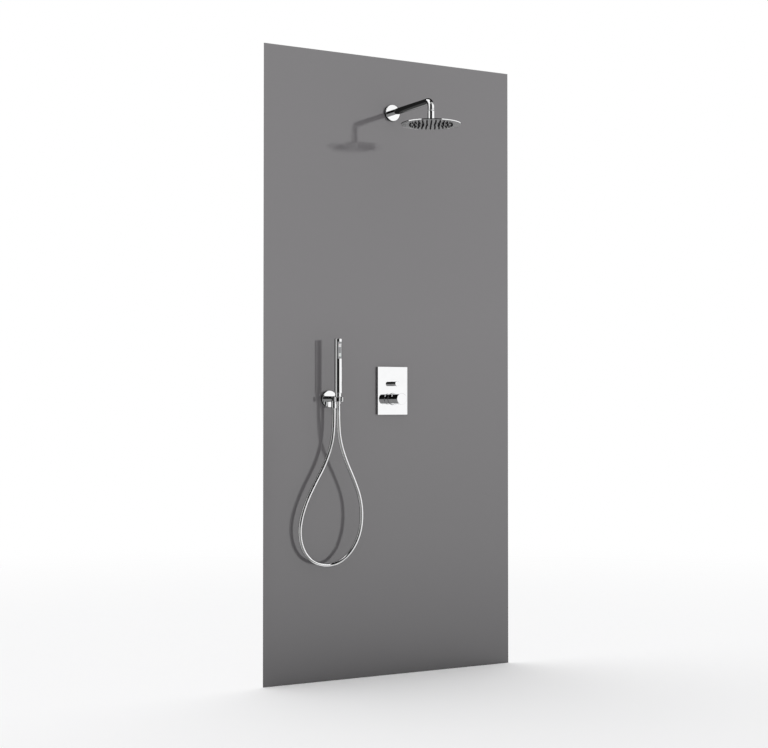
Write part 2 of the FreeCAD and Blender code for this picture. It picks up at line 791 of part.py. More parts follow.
# Concealed pipes and the drop-ear elbows that carry the arm and the outlet
def elbow(at, leg):
    """A drop-ear elbow: threaded mouth towards the room, pipe socket on its leg."""
    x, z = at[0], at[2]
    behind = (x, PIPE_Y, z)
    ear = "elbow_ear_wide / 2"
    lug = "elbow_ear_tall / 2"
    solid = fuse(
        rod("elbow_r", "-elbow_back", "-elbow_face", at, OUT),
        rod("elbow_leg_r", "0", "elbow_leg", behind, leg),
        block((x + " - " + ear, x + " + " + ear), ("elbow_back - ear_thick", "elbow_back"),
              (z + " - " + lug, z + " + " + lug)),
    )
    sides = [x + " - elbow_holes / 2", x + " + elbow_holes / 2"]
    holes = [rod("screw_hole", "-elbow_back - fit_gap", "0", (side, "0", z), OUT) for side in sides]
    return cut(
        solid,
        rod("thread_r + fit_gap", "-elbow_face - thread_deep", "0", at, OUT),
        rod("waterway_r", "-pipe_depth", "-elbow_face", at, OUT),
        rod("waterway_r", "0", "elbow_leg", behind, leg),
        rod("pipe_r + fit_gap", "elbow_leg - socket_deep", "elbow_leg + fit_gap", behind, leg),
        *holes,
    )


piece("arm_elbow", elbow(ARM, DOWN))
piece("outlet_elbow", elbow(OUTLET, UP))
RISER = ("0", PIPE_Y, "0")
piece("riser_pipe", ring("pipe_r - pipe_wall", "pipe_r", "diverter_rise + outlet_stub - socket_deep",
                         "arm_rise - elbow_leg + socket_deep", RISER))


def feed_run(radius):
    """The hand shower's feed: left from the valve, then down into the outlet elbow."""
    corner = ("-outlet_left + pipe_bend", PIPE_Y, "diverter_rise - pipe_bend")
    return fuse(
        rod(radius, "outlet_stub - socket_deep", "outlet_left - pipe_bend", TOP_OUTLET, LEFT),
        bend("pipe_bend", radius, corner, UP, LEFT),
        rod(radius, "-mixer_drop + elbow_leg - socket_deep", "diverter_rise - pipe_bend",
            ("-outlet_left", PIPE_Y, "0")),
    )


piece("hand_feed_pipe", cut(feed_run("pipe_r"), feed_run("pipe_r - pipe_wall")))


# Wall flanges: turned cups that hide the holes in the wall, each on a thin gasket
def wall_flange(at, tube):
    """A flange that slides along a tube."""
    return turned([
        (tube + " + fit_gap", "flange_deep - flange_wall"),
        ("flange_r - flange_wall", "flange_deep - flange_wall"),
        ("flange_r - flange_wall", "gasket_thick"),
        ("flange_r", "gasket_thick"),
        ("flange_r", "flange_deep", "flange_round"),
        (tube + " + fit_gap", "flange_deep"),
    ], at, OUT)


piece("arm_flange", wall_flange(ARM, "arm_r"))
piece("outlet_flange", wall_flange(OUTLET, "outlet_r"))
piece("flange_gaskets", group(
    ring("flange_r - 2 * flange_wall", "flange_r - gasket_inset", "0", "gasket_thick", ARM, OUT),
    ring("flange_r - 2 * flange_wall", "flange_r - gasket_inset", "0", "gasket_thick", OUTLET, OUT),
))

# Shower arm: a bent tube with a threaded stub behind the wall
ARM_DROP = ("0", "-arm_out", "arm_rise")
STUB_END = "-elbow_face - thread_in"


def arm_run(radius):
    """The arm's way: out of the wall, round the bend and down."""
    corner = ("0", "-arm_out + arm_bend", "arm_rise - arm_bend")
    return fuse(
        rod(radius, "tube_start", "arm_out - arm_bend", ARM, OUT),
        bend("arm_bend", radius, corner, UP, OUT),
        rod(radius, "arm_bend", "arm_drop", ARM_DROP, DOWN),
    )


piece("shower_arm", cut(
    fuse(arm_run("arm_r"), rod("thread_r", STUB_END, "tube_start", ARM, OUT)),
    cut(arm_run("arm_r - arm_wall"), rod("arm_r", "0", "tube_start + arm_wall", ARM, OUT)),
    rod("stub_bore", STUB_END, "tube_start + arm_wall", ARM, OUT),
))

# Ball joint: the nipple screws into the arm, and the head turns about its ball
BALL_DROP = "arm_drop + arm_seal_thick + collar_tall + collar_above"
BALL = ("0", "-arm_out", "arm_rise - (%s)" % BALL_DROP)
ARM_END = "collar_above + collar_tall + arm_seal_thick"
nipple_solid = fuse(
    turned([
        ("0", "0"),
        ("neck_r", "0"),
        ("neck_r", "collar_above"),
        ("arm_r", "collar_above"),
        ("arm_r", "collar_above + collar_tall"),
        ("arm_r - arm_wall - fit_gap", "collar_above + collar_tall"),
        ("arm_r - arm_wall - fit_gap", ARM_END + " + nipple_in"),
        ("0", ARM_END + " + nipple_in"),
    ], BALL),
    ball("ball_r", BALL),
)
piece("ball_nipple", cut(nipple_solid, rod("ball_bore", "-ball_r", ARM_END + " + nipple_in", BALL)))
piece("arm_seal", ring("arm_r - arm_wall", "arm_r - fit_gap", "collar_above + collar_tall", ARM_END, BALL))
SEAT_R = "ball_r + run_gap + seat_thick"
seat_zone = common(ball(SEAT_R, BALL), rod(SEAT_R, "-(%s)" % SEAT_R, "-seat_top", BALL))
piece("ball_seat", cut(seat_zone, ball("ball_r + run_gap", BALL),
                       rod("seat_bore", "-2 * ball_r", "0", BALL)))
LAP_TOP = "-head_nut_below + lap_above"
nut_ring = turned([
    ("head_nut_mouth", "head_nut_above"),
    ("head_nut_r", "head_nut_above"),
    ("head_nut_r", "-head_nut_below"),
    ("lap_r + fit_gap", "-head_nut_below"),
    ("lap_r + fit_gap", LAP_TOP),
    ("head_nut_mouth", LAP_TOP),
], BALL)
piece("head_nut", cut(nut_ring, ball("ball_r + run_gap", BALL)))

# Overhead shower: a shallow dome with a boss, closed below by the face and its nozzle mat
RIM_TOP = "-head_drop + rim_thick"
DOME_R = "(head_r ^ 2 + dome_rise ^ 2) / (2 * dome_rise)"
DOME_CENTRE = (BALL[0], BALL[1], "%s + %s + dome_rise - %s" % (BALL[2], RIM_TOP, DOME_R))
CEILING = RIM_TOP + " + dome_rise - shell_wall"
FACE_BOTTOM = "-head_drop + face_inset"
FACE_TOP = FACE_BOTTOM + " + face_thick"
FACE_R = "head_r - shell_wall - fit_gap"
dome = common(ball(DOME_R, DOME_CENTRE), rod("head_r", "-head_drop", "0", BALL))
hollow = common(ball(DOME_R + " - shell_wall", DOME_CENTRE),
                rod("head_r - shell_wall", "-head_drop - shell_wall", "0", BALL))
boss = fuse(
    rod("head_nut_r", RIM_TOP, "-head_nut_below", BALL),
    rod("lap_r", "-head_nut_below", LAP_TOP, BALL),
)
piece("head_shell", cut(
    fuse(cut(dome, hollow), cut(boss, rod("head_r", "-head_drop", CEILING, BALL))),
    common(ball(SEAT_R + " + seat_gap", BALL), rod("head_r", "-2 * ball_r", "-head_nut_below", BALL)),
    rod("lap_r - lap_wall", "-head_nut_below", "0", BALL),
    rod("passage_r", "-head_drop", "-ball_r", BALL),
))
piece("flow_restrictor", ring("restrictor_bore", "passage_r - fit_gap", "-restrictor_drop - restrictor_tall",
                              "-restrictor_drop", BALL))
SEAL_TOP = RIM_TOP + " - shell_wall - fit_gap"
piece("head_seal", ring(FACE_R + " - head_seal_wide", FACE_R, FACE_TOP, SEAL_TOP, BALL))


def nozzle_field(body, feature, sketch_of, axis):
    """Repeat a feature at the middle and on evenly spaced rings about an axis."""
    for number in range(NOZZLE_RINGS + 1):
        made = feature(body, sketch_of(body, number))
        doc.recompute()
        if number:
            rings = body.newObject("PartDesign::PolarPattern", "ring")
            rings.Originals = [made]
            rings.Axis = axis
            rings.Angle = 360
            rings.Occurrences = 6 * number
            body.Tip = rings
            doc.recompute()


def spot(radius):
    """A function that sketches the nozzle circle of one ring."""
    def draw(body, number):
        sketch = body.newObject("Sketcher::SketchObject", "spot")
        sketch.AttachmentSupport = [(plane_of(body, "XY_Plane"), "")]
        sketch.MapMode = "FlatFace"
        middle = Vector(number * SIZES["nozzle_pitch"], 0)
        sketch.addGeometry(Part.Circle(middle, UP, SIZES["nozzle_r"]), False)
        places = (("DistanceX", "%d * nozzle_pitch" % number), ("DistanceY", "0"))
        for kind, text in places:
            item = sketch.addConstraint(Sketcher.Constraint(kind, -1, 1, 0, 3, 1.0))
            sketch.setExpression("Constraints[%d]" % item, bound(text))
        item = sketch.addConstraint(Sketcher.Constraint("Radius", 0, SIZES["nozzle_r"]))
        sketch.setExpression("Constraints[%d]" % item, bound(radius))
        return sketch
    return draw


def disc_body(radius, start, end):
    """A plain disc as the base of a nozzle field, from start to end under the ball."""
    body = doc.addObject("PartDesign::Body", "disc")
    thick = "%s - (%s)" % (end, start)
    corners = [("0", "0"), (radius, "0"), (radius, thick), ("0", thick)]
    outline = polygon(body, corners, "XZ_Plane", "profile")
    turning = body.newObject("PartDesign::Revolution", "turning")
    turning.Profile = outline
    turning.ReferenceAxis = (outline, ["V_Axis"])
    turning.Angle = 360
    place(body, BALL, UP, start)
    doc.recompute()
    return body, (outline, ["V_Axis"])


def pierce(body, sketch):
    """A hole through a disc."""
    pocket = body.newObject("PartDesign::Pocket", "hole")
    pocket.Profile = sketch
    pocket.Type = "ThroughAll"
    pocket.Midplane = True
    return pocket


def stud(body, sketch):
    """A nozzle that hangs below its mat."""
    pad = body.newObject("PartDesign::Pad", "nozzle")
    pad.Profile = sketch
    pad.Reversed = True
    bind(pad, Length="face_thick + nozzle_out")
    return pad


face_body, face_axis = disc_body(FACE_R, FACE_BOTTOM, FACE_TOP)
nozzle_field(face_body, pierce, spot("nozzle_r + fit_gap"), face_axis)
piece("head_face", face_body)
mat_body, mat_axis = disc_body("mat_r", FACE_TOP, FACE_TOP + " + mat_thick")
nozzle_field(mat_body, stud, spot("nozzle_r"), mat_axis)
piece("nozzle_mat", mat_body)

# Wall outlet: a tube that turns the water down into the hose and carries the holder
HOSE_EXIT = ("-outlet_left", "-outlet_out", "-mixer_drop")
THREAD_END = "spigot_drop + spigot_thread_long"
HOLDER_GRUB = ("-outlet_left", "-outlet_front + holder_grub_back", "-mixer_drop")
outlet_solid = fuse(
    rod("thread_r", STUB_END, "tube_start", OUTLET, OUT),
    rod("outlet_r", "tube_start", "outlet_front", OUTLET, OUT),
    rod("spigot_r", "0", "spigot_drop", HOSE_EXIT, DOWN),
    rod("spigot_thread", "spigot_drop", THREAD_END, HOSE_EXIT, DOWN),
)
piece("wall_outlet", cut(
    outlet_solid,
    rod("outlet_bore", STUB_END, "outlet_out + waterway_r + swing_gap", OUTLET, OUT),
    rod("waterway_r", "0", THREAD_END, HOSE_EXIT, DOWN),
    rod("holder_stub + fit_gap", "outlet_front - holder_stub_long - fit_gap",
        "outlet_front + fit_gap", OUTLET, OUT),
    rod("holder_grub_r + fit_gap", "0", "outlet_r + swing_gap", HOLDER_GRUB, DOWN),
))
piece("outlet_check_valve", ring("check_valve_bore", "outlet_bore - fit_gap", "check_valve_out",
                                 "check_valve_out + check_valve_long", OUTLET, OUT))
piece("outlet_washer", ring("waterway_r", "spigot_thread", "-(%s) - washer_thick" % THREAD_END,
                            "-(%s)" % THREAD_END, HOSE_EXIT))
FERRULE_TOP = "-(%s) - washer_thick" % THREAD_END
piece("outlet_ferrule", turned([
    ("hose_bore", FERRULE_TOP),
    ("ferrule_flange", FERRULE_TOP),
    ("ferrule_flange", FERRULE_TOP + " - ferrule_flange_thick"),
    ("hose_r", FERRULE_TOP + " - ferrule_flange_thick"),
    ("hose_r", "-ferrule_drop"),
    ("hose_bore", "-ferrule_drop"),
], HOSE_EXIT))
NUT_LEDGE = FERRULE_TOP + " - ferrule_flange_thick"
piece("outlet_nut", turned([
    ("ferrule_flange + 2 * fit_gap", "-spigot_drop - swing_gap"),
    ("hose_nut_r", "-spigot_drop - swing_gap", "grub_hex / 2"),
    ("hose_nut_r", "-hose_nut_drop", "grub_hex / 2"),
    ("hose_r + fit_gap", "-hose_nut_drop"),
    ("hose_r + fit_gap", NUT_LEDGE),
    ("ferrule_flange + 2 * fit_gap", NUT_LEDGE),
], HOSE_EXIT))

# Holder: a slotted ring whose plastic liner takes the cone nut
HOLDER = ("-outlet_left", "-holder_out", "-mixer_drop")


def cone_at(height):
    """The cone nut's radius at a height."""
    slope = "(cone_large - cone_small) / (cone_start + cone_bottom)"
    return "cone_small + (%s + cone_bottom) * %s" % (height, slope)


LINER_IN = "swing_gap"
LINER_OUT = "swing_gap + liner_wall"


def liner_wall(height, more):
    """A radius outside the cone nut."""
    return "%s + %s" % (cone_at(height), more)


half_gap = "slot_wide / 2"
slot_x = ("-outlet_left - " + half_gap, "-outlet_left + " + half_gap)
slot = block(slot_x, ("-holder_out - holder_r - swing_gap", "-holder_out"),
             ("-mixer_drop - holder_below - swing_gap", "-mixer_drop + holder_above + swing_gap"))
RING_IN = LINER_OUT + " + fit_gap"
holder_ring = turned([
    (liner_wall("-holder_below", RING_IN), "-holder_below"),
    ("holder_r", "-holder_below", "holder_round"),
    ("holder_r", "holder_above", "holder_round"),
    (liner_wall("holder_above", RING_IN), "holder_above"),
], HOLDER)
neck_rod = rod("holder_neck", "outlet_front", "holder_out", OUTLET, OUT)
liner_space = turned([
    ("0", "-holder_below"),
    (liner_wall("-holder_below", RING_IN), "-holder_below"),
    (liner_wall("holder_above", RING_IN), "holder_above"),
    ("0", "holder_above"),
], HOLDER)
over_ring = rod("holder_r", "holder_above", "2 * holder_r", HOLDER)
under_ring = rod("holder_r", "holder_below", "2 * holder_r", HOLDER, DOWN)
piece("shower_holder", cut(
    fuse(holder_ring, cut(neck_rod, liner_space, over_ring, under_ring),
         rod("holder_stub", "outlet_front - holder_stub_long", "outlet_front", OUTLET, OUT)),
    slot,
))
liner_ring = turned([
    (liner_wall("-holder_below", LINER_IN), "-holder_below"),
    (liner_wall("-holder_below", LINER_OUT), "-holder_below"),
    (liner_wall("holder_above", LINER_OUT), "holder_above"),
    (liner_wall("holder_above", LINER_IN), "holder_above"),
], HOLDER)
piece("holder_liner", cut(liner_ring, slot))
piece("holder_grub_screw", grub("holder_grub_r", "holder_grub_hex", "holder_grub_long / 2",
                                "holder_stub + fit_gap",
                                "holder_stub + fit_gap + holder_grub_long", HOLDER_GRUB))


# Hose: straight runs joined by arcs as large as the runs allow
def hose_path(route):
    """The hose's centre line, and the radii of its arcs."""
    points = [Vector(x, -out, up) for x, out, up in route]
    edges = []
    radii = []
    here = points[0]
    for before, corner, after in zip(points, points[1:], points[2:]):
        back = before - corner
        ahead = after - corner
        reach = 0.45 * min(back.Length, ahead.Length)
        half_turn = (math.pi - back.getAngle(ahead)) / 2
        radii.append(reach / math.tan(half_turn))
        back.normalize()
        ahead.normalize()
        start = corner + back * reach
        end = corner + ahead * reach
        inward = (back + ahead).normalize()
        middle = corner + inward * radii[-1] * (1 / math.cos(half_turn) - 1)
        edges.append(Part.LineSegment(here, start).toShape())
        edges.append(Part.Arc(start, middle, end).toShape())
        here = end
    edges.append(Part.LineSegment(here, points[-1]).toShape())
    return Part.Wire(edges), radii


centre_line = doc.addObject("Part::Feature", "hose_centre_line")
centre_line.Shape, hose_radii = hose_path(HOSE_ROUTE)
place(centre_line, OUTLET)
hose_edges = ["Edge%d" % (k + 1) for k in range(2 * len(HOSE_ROUTE) - 3)]


def hose_sweep(radius):
    """A round bar along the hose's centre line."""
    section = bind(doc.addObject("Part::Circle", "section"), Radius=radius)
    place(section, ("-outlet_left", "-outlet_out", "-mixer_drop - ferrule_drop"))
    sweep = doc.addObject("Part::Sweep", "sweep")
    sweep.Sections = [section]
    sweep.Spine = (centre_line, hose_edges)
    sweep.Solid = True
    return sweep


hose = piece("shower_hose", cut(hose_sweep("hose_r"), hose_sweep("hose_bore")))

# Cone nut and swivel: the hose's end turns freely inside the nut that screws on the stick
SWIVEL_TOP = "swivel_seat + fit_gap + swivel_flange"
piece("hose_swivel", turned([
    ("swivel_bore", SWIVEL_TOP),
    ("thread_r - swing_gap", SWIVEL_TOP),
    ("thread_r - swing_gap", "swivel_seat + fit_gap"),
    ("swivel_r", "swivel_seat + fit_gap"),
    ("swivel_r", "-swivel_drop"),
    ("swivel_bore", "-swivel_drop"),
], HOLDER))
piece("cone_nut", turned([
    ("thread_r + fit_gap", "cone_top - fit_gap"),
    ("cone_large", "cone_top - fit_gap"),
    ("cone_large", "cone_start"),
    ("cone_small", "-cone_bottom"),
    ("swivel_r + run_gap", "-cone_bottom"),
    ("swivel_r + run_gap", "swivel_seat"),
    ("thread_r + fit_gap", "swivel_seat"),
], HOLDER))
FILTER_BOTTOM = SWIVEL_TOP + " + fit_gap"
FILTER_TOP = FILTER_BOTTOM + " + filter_thick"
piece("filter_washer", ring("swivel_bore", "thread_r - fit_gap", FILTER_BOTTOM, FILTER_TOP, HOLDER))

# Hand shower: a stick of chromed tube with a spray insert near its top
STICK_TOP = "cone_top + stick_long"
TUBE_TOP = STICK_TOP + " - cap_thick"
TUBE_IN = "stick_r - stick_wall"
CONNECTOR_TOP = "cone_top + connector_tall"
piece("handset_connector", turned([
    ("connector_bore", FILTER_TOP),
    ("thread_r", FILTER_TOP),
    ("thread_r", "cone_top"),
    (TUBE_IN + " - fit_gap", "cone_top"),
    (TUBE_IN + " - fit_gap", CONNECTOR_TOP),
    ("connector_bore", CONNECTOR_TOP),
], HOLDER))
WINDOW_TOP = TUBE_TOP + " - window_down"
WINDOW_BOTTOM = WINDOW_TOP + " - window_tall"


def front_box(wide, low, high):
    """A box from the stick's axis to past its front."""
    half = "(%s) / 2" % wide
    return block(("-outlet_left - " + half, "-outlet_left + " + half),
                 ("-holder_out - 2 * stick_r", "-holder_out"),
                 ("-mixer_drop + " + low, "-mixer_drop + " + high))


stick_tube = turned([
    (TUBE_IN, "cone_top"),
    ("stick_r", "cone_top", "stick_round"),
    ("stick_r", TUBE_TOP),
    (TUBE_IN, TUBE_TOP),
], HOLDER)
piece("handset_tube", cut(stick_tube, front_box("window_wide", WINDOW_BOTTOM, WINDOW_TOP)))
cap_solid = turned([
    ("0", TUBE_TOP + " - cap_plug"),
    (TUBE_IN + " - fit_gap", TUBE_TOP + " - cap_plug"),
    (TUBE_IN + " - fit_gap", TUBE_TOP),
    ("stick_r", TUBE_TOP),
    ("stick_r", STICK_TOP, "cap_round"),
    ("0", STICK_TOP),
], HOLDER)
piece("handset_cap", cap_solid)
CHAMBER_TOP = TUBE_TOP + " - cap_plug"
CHAMBER_BOTTOM = WINDOW_BOTTOM + " - chamber_floor"
CHAMBER_R = TUBE_IN + " - fit_gap"
chamber_cup = turned([
    ("feed_r + fit_gap", CHAMBER_BOTTOM),
    (CHAMBER_R, CHAMBER_BOTTOM),
    (CHAMBER_R, CHAMBER_TOP),
    (CHAMBER_R + " - chamber_wall", CHAMBER_TOP),
    (CHAMBER_R + " - chamber_wall", CHAMBER_BOTTOM + " + chamber_floor"),
    ("feed_r + fit_gap", CHAMBER_BOTTOM + " + chamber_floor"),
], HOLDER)
piece("spray_chamber", cut(chamber_cup, front_box("window_wide", WINDOW_BOTTOM, WINDOW_TOP)))
piece("handset_pipe", ring("feed_r - feed_wall", "feed_r", CONNECTOR_TOP,
                           CHAMBER_BOTTOM + " + chamber_floor", HOLDER))

# Spray insert: a curved plastic panel in the window, with two soft pads of jets
SPRAY_R = "stick_r - run_gap"
WINDOW_MIDDLE = "(%s - window_tall / 2)" % WINDOW_TOP
PAD_MIDDLES = [WINDOW_MIDDLE + " - pad_apart / 2", WINDOW_MIDDLE + " + pad_apart / 2"]


def pad_box(middle, room):
    """The space of one jet pad, widened by some room."""
    return front_box("pad_wide + 2 * (%s)" % room, "%s - pad_tall / 2 - (%s)" % (middle, room),
                     "%s + pad_tall / 2 + %s" % (middle, room))


def spray_shell():
    """The curved wall that the insert and its pads are cut from."""
    return ring(SPRAY_R + " - spray_thick", SPRAY_R, WINDOW_BOTTOM, WINDOW_TOP, HOLDER)


panel_box = front_box("window_wide - 2 * fit_gap", WINDOW_BOTTOM + " + fit_gap", WINDOW_TOP + " - fit_gap")
piece("spray_plate", cut(common(spray_shell(), panel_box), *[pad_box(m, "fit_gap") for m in PAD_MIDDLES]))


def jet_pad(middle):
    """A soft pad with rows of jets that stand out of it."""
    jets = []
    for column in range(JET_COLUMNS):
        for row in range(JET_ROWS):
            x = "-outlet_left + %s * jet_pitch" % (column - (JET_COLUMNS - 1) / 2)
            z = "-mixer_drop + %s + %s * jet_pitch" % (middle, row - (JET_ROWS - 1) / 2)
            at = (x, "-holder_out", z)
            jets.append(rod("jet_r", SPRAY_R + " - spray_thick", "stick_r + jet_out", at, OUT))
    return fuse(common(spray_shell(), pad_box(middle, "0")), *jets)


piece("handset_nozzles", group(*[jet_pad(middle) for middle in PAD_MIDDLES]))

doc.recompute()

# Checks before anything is written
for obj in doc.Objects:
    if "Invalid" in obj.State or "Error" in obj.State:
        raise ValueError("%s (%s) failed: %s" % (obj.Name, obj.Label, obj.State))
for obj in pieces:
    if obj.Shape.isNull() or not obj.Shape.isValid() or not obj.Shape.Solids:
        raise ValueError("%s has no valid solid" % obj.Label)

hose_long = centre_line.Shape.Length
hose_section = math.pi * (SIZES["hose_r"] ** 2 - SIZES["hose_bore"] ** 2)
print("hose length %.1f, least bend radius %.1f" % (hose_long, min(hose_radii)))
print("hose radii", ["%.0f" % r for r in hose_radii])
print("hose volume %.0f, section times length %.0f" % (hose.Shape.Volume, hose_section * hose_long))

os.makedirs("parts", exist_ok=True)
for obj in pieces:
    obj.Shape.exportStep("parts/%s.step" % obj.Label)
print(len(pieces), "pieces written")
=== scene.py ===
"""A concealed shower set, dressed in its finishes and set up in a plain studio.

The order is that of fitting one: first the brass, copper and plastic that go into the wall,
then the chrome that shows on it, the hose and the hand shower, and last the studio.
Lengths are in metres, with X to the right along the wall, Y into it and Z up.
"""
import json
import math
import bpy
import numpy as np
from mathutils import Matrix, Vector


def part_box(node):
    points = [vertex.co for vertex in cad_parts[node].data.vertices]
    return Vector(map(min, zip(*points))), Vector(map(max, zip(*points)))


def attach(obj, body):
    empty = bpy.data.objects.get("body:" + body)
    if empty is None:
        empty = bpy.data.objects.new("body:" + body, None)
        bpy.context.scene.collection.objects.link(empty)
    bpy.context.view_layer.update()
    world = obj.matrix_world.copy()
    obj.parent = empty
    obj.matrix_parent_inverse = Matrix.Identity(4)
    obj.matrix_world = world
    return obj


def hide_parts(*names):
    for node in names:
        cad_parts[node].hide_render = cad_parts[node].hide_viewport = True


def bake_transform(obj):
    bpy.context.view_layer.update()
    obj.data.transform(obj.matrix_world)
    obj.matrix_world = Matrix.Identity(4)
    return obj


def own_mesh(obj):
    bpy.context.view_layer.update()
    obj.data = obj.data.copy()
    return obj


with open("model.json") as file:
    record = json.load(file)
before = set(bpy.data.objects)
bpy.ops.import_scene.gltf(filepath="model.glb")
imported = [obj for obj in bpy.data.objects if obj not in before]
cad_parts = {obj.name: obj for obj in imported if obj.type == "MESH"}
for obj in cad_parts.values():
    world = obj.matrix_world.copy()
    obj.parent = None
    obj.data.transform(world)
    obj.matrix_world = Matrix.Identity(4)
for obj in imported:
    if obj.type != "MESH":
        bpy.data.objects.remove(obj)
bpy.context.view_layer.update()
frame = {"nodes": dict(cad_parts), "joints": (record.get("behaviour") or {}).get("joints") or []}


# Valve body: the brass casting that is set into the wall and holds both valves. It is cast
# in sand, so its skin is grainy and blotched, and two ears screw it to the wall's frame.
CAST_DARK = (0.47, 0.31, 0.12)
CAST_LIGHT = (0.70, 0.50, 0.22)
CAST_ROUGH = (0.33, 0.58)
CAST_BLOTCH = 0.015
SAND_GRAIN = 0.0012
SAND_DETAIL = 3
SAND_DEPTH = 0.00025
SAND_SHARE = 0.4


class Tone:
    """One socket of a finish. Sums and products of tones and numbers add Math nodes."""

    def __init__(self, socket):
        self.socket = socket

    def node(self, kind, settings, sockets, output=0):
        """Any other node: its settings are set first, then its sockets' values or links."""
        made = self.socket.id_data.nodes.new("ShaderNode" + kind)
        for name, setting in settings.items():
            setattr(made, name, setting)
        for name, value in sockets.items():
            feed(made.inputs[name], value)
        return Tone(made.outputs[output])

    def maths(self, operation, first, second):
        return self.node("Math", {"operation": operation}, {0: first, 1: second})

    def __add__(self, other):
        return self.maths("ADD", self, other)

    def __sub__(self, other):
        return self.maths("SUBTRACT", self, other)

    def __rsub__(self, other):
        return self.maths("SUBTRACT", other, self)

    def __mul__(self, other):
        return self.maths("MULTIPLY", self, other)

    def __pow__(self, other):
        return self.maths("POWER", self, other)

    __radd__ = __add__
    __rmul__ = __mul__


def feed(socket, value):
    """Links a tone to a socket, or sets a plain value on the socket itself."""
    if isinstance(value, Tone):
        value.socket.id_data.links.new(value.socket, socket)
    else:
        socket.default_value = value


def finish(name, plain):
    """A new finish with its plain shader values set. Returns the material, the shader's
    sockets and the surface's own place in metres, which patterns start from."""
    material = bpy.data.materials.new(name)
    material.use_nodes = True
    tree = material.node_tree
    shader = tree.nodes["Principled BSDF"].inputs
    for socket, value in plain.items():
        feed(shader[socket], value)
    place = tree.nodes.new("ShaderNodeTexCoord").outputs["Object"]
    return material, shader, Tone(place)


def grain(place, size, detail=2.0):
    """Noise from 0 to 1 whose lumps are about as wide as size, in metres."""
    return place.node("TexNoise", {}, {"Vector": place, "Scale": 1 / size, "Detail": detail})


def span(share, low, high):
    """The number that goes from low to high as share goes from 0 to 1."""
    return share * (high - low) + low


def between(share, first, second):
    """The colour that goes from first to second as share goes from 0 to 1. A Mix node names its
    sockets alike for every kind of value, so those of its colours are given by number."""
    factor, colour_a, colour_b, result = 0, 6, 7, 2
    mix = {factor: share, colour_a: (*first, 1), colour_b: (*second, 1)}
    return share.node("Mix", {"data_type": "RGBA"}, mix, result)


def relief(height, depth):
    """A surface whose bumps stand depth, in metres, proud where height is 1."""
    return height.node("Bump", {}, {"Strength": 1, "Distance": depth, "Height": height})


def dress(material, *nodes):
    """Gives the named pieces their finish."""
    for node in nodes:
        slots = frame["nodes"][node].data.materials
        slots.clear()
        slots.append(material)


cast_brass, shader, place = finish("cast_brass", {"Metallic": 1})
sand = grain(place, SAND_GRAIN, SAND_DETAIL)
blotch = grain(place, CAST_BLOTCH)
mottle = blotch * (1 - SAND_SHARE) + sand * SAND_SHARE
feed(shader["Base Color"], between(mottle, CAST_DARK, CAST_LIGHT))
feed(shader["Roughness"], span(blotch, *CAST_ROUGH))
feed(shader["Normal"], relief(sand, SAND_DEPTH))
dress(cast_brass, "valve_body")


# Mixer cartridge: a moulded housing with two lapped ceramic discs in it, held down in the
# valve body by a turned brass nut, with a rubber gasket below and a steel pin for the stem.
ACETAL_DARK = (0.66, 0.66, 0.63)
ACETAL_LIGHT = (0.80, 0.80, 0.77)
ACETAL_ROUGH = (0.36, 0.48)
ACETAL_FLOW = 0.012
MOULD_GRAIN = 0.0006
MOULD_DEPTH = 0.00002
acetal, shader, place = finish(
    "acetal",
    {"Subsurface Weight": 0.05, "Subsurface Scale": 0.001},
)
mould = grain(place, MOULD_GRAIN)
flow = grain(place, ACETAL_FLOW)
feed(shader["Base Color"], between(flow, ACETAL_DARK, ACETAL_LIGHT))
feed(shader["Roughness"], span(mould, *ACETAL_ROUGH))
feed(shader["Normal"], relief(mould, MOULD_DEPTH))
dress(acetal, "cartridge_base", "cartridge_housing", "cartridge_rotor")

ALUMINA_DARK = (0.78, 0.77, 0.72)
ALUMINA_LIGHT = (0.88, 0.87, 0.83)
ALUMINA_ROUGH = (0.12, 0.22)
ALUMINA_CRYSTAL = 0.0004
alumina, shader, place = finish("alumina", {"IOR": 1.76})
crystal = grain(place, ALUMINA_CRYSTAL)
feed(shader["Base Color"], between(crystal, ALUMINA_DARK, ALUMINA_LIGHT))
feed(shader["Roughness"], span(crystal, *ALUMINA_ROUGH))
dress(alumina, "fixed_disc", "moving_disc")

RUBBER_DARK = (0.018, 0.018, 0.020)
RUBBER_LIGHT = (0.045, 0.045, 0.048)
RUBBER_ROUGH = (0.5, 0.7)
RUBBER_BLOOM = 0.008
BLOOM_DETAIL = 4
RUBBER_PIT = 0.0005
PIT_DEPTH = 0.00003
rubber, shader, place = finish("rubber", {"Specular IOR Level": 0.35})
bloom = grain(place, RUBBER_BLOOM, BLOOM_DETAIL)
pits = grain(place, RUBBER_PIT)
feed(shader["Base Color"], between(bloom, RUBBER_DARK, RUBBER_LIGHT))
feed(shader["Roughness"], span(bloom, *RUBBER_ROUGH))
feed(shader["Normal"], relief(pits, PIT_DEPTH))
dress(rubber, "cartridge_gasket")

TURNED_DARK = (0.68, 0.48, 0.20)
TURNED_LIGHT = (0.84, 0.64, 0.31)
TURNED_ROUGH = (0.18, 0.33)
TOOL_MARK = 0.0005
TOOL_DEPTH = 0.00002
turned_brass, shader, place = finish("turned_brass", {"Metallic": 1})
across = place.node("SeparateXYZ", {}, {0: place}, "Y")
marks = grain(place.node("CombineXYZ", {}, {"X": across}), TOOL_MARK)
feed(shader["Base Color"], between(marks, TURNED_DARK, TURNED_LIGHT))
feed(shader["Roughness"], span(marks, *TURNED_ROUGH))
feed(shader["Normal"], relief(marks, TOOL_DEPTH))
dress(turned_brass, "cartridge_nut")

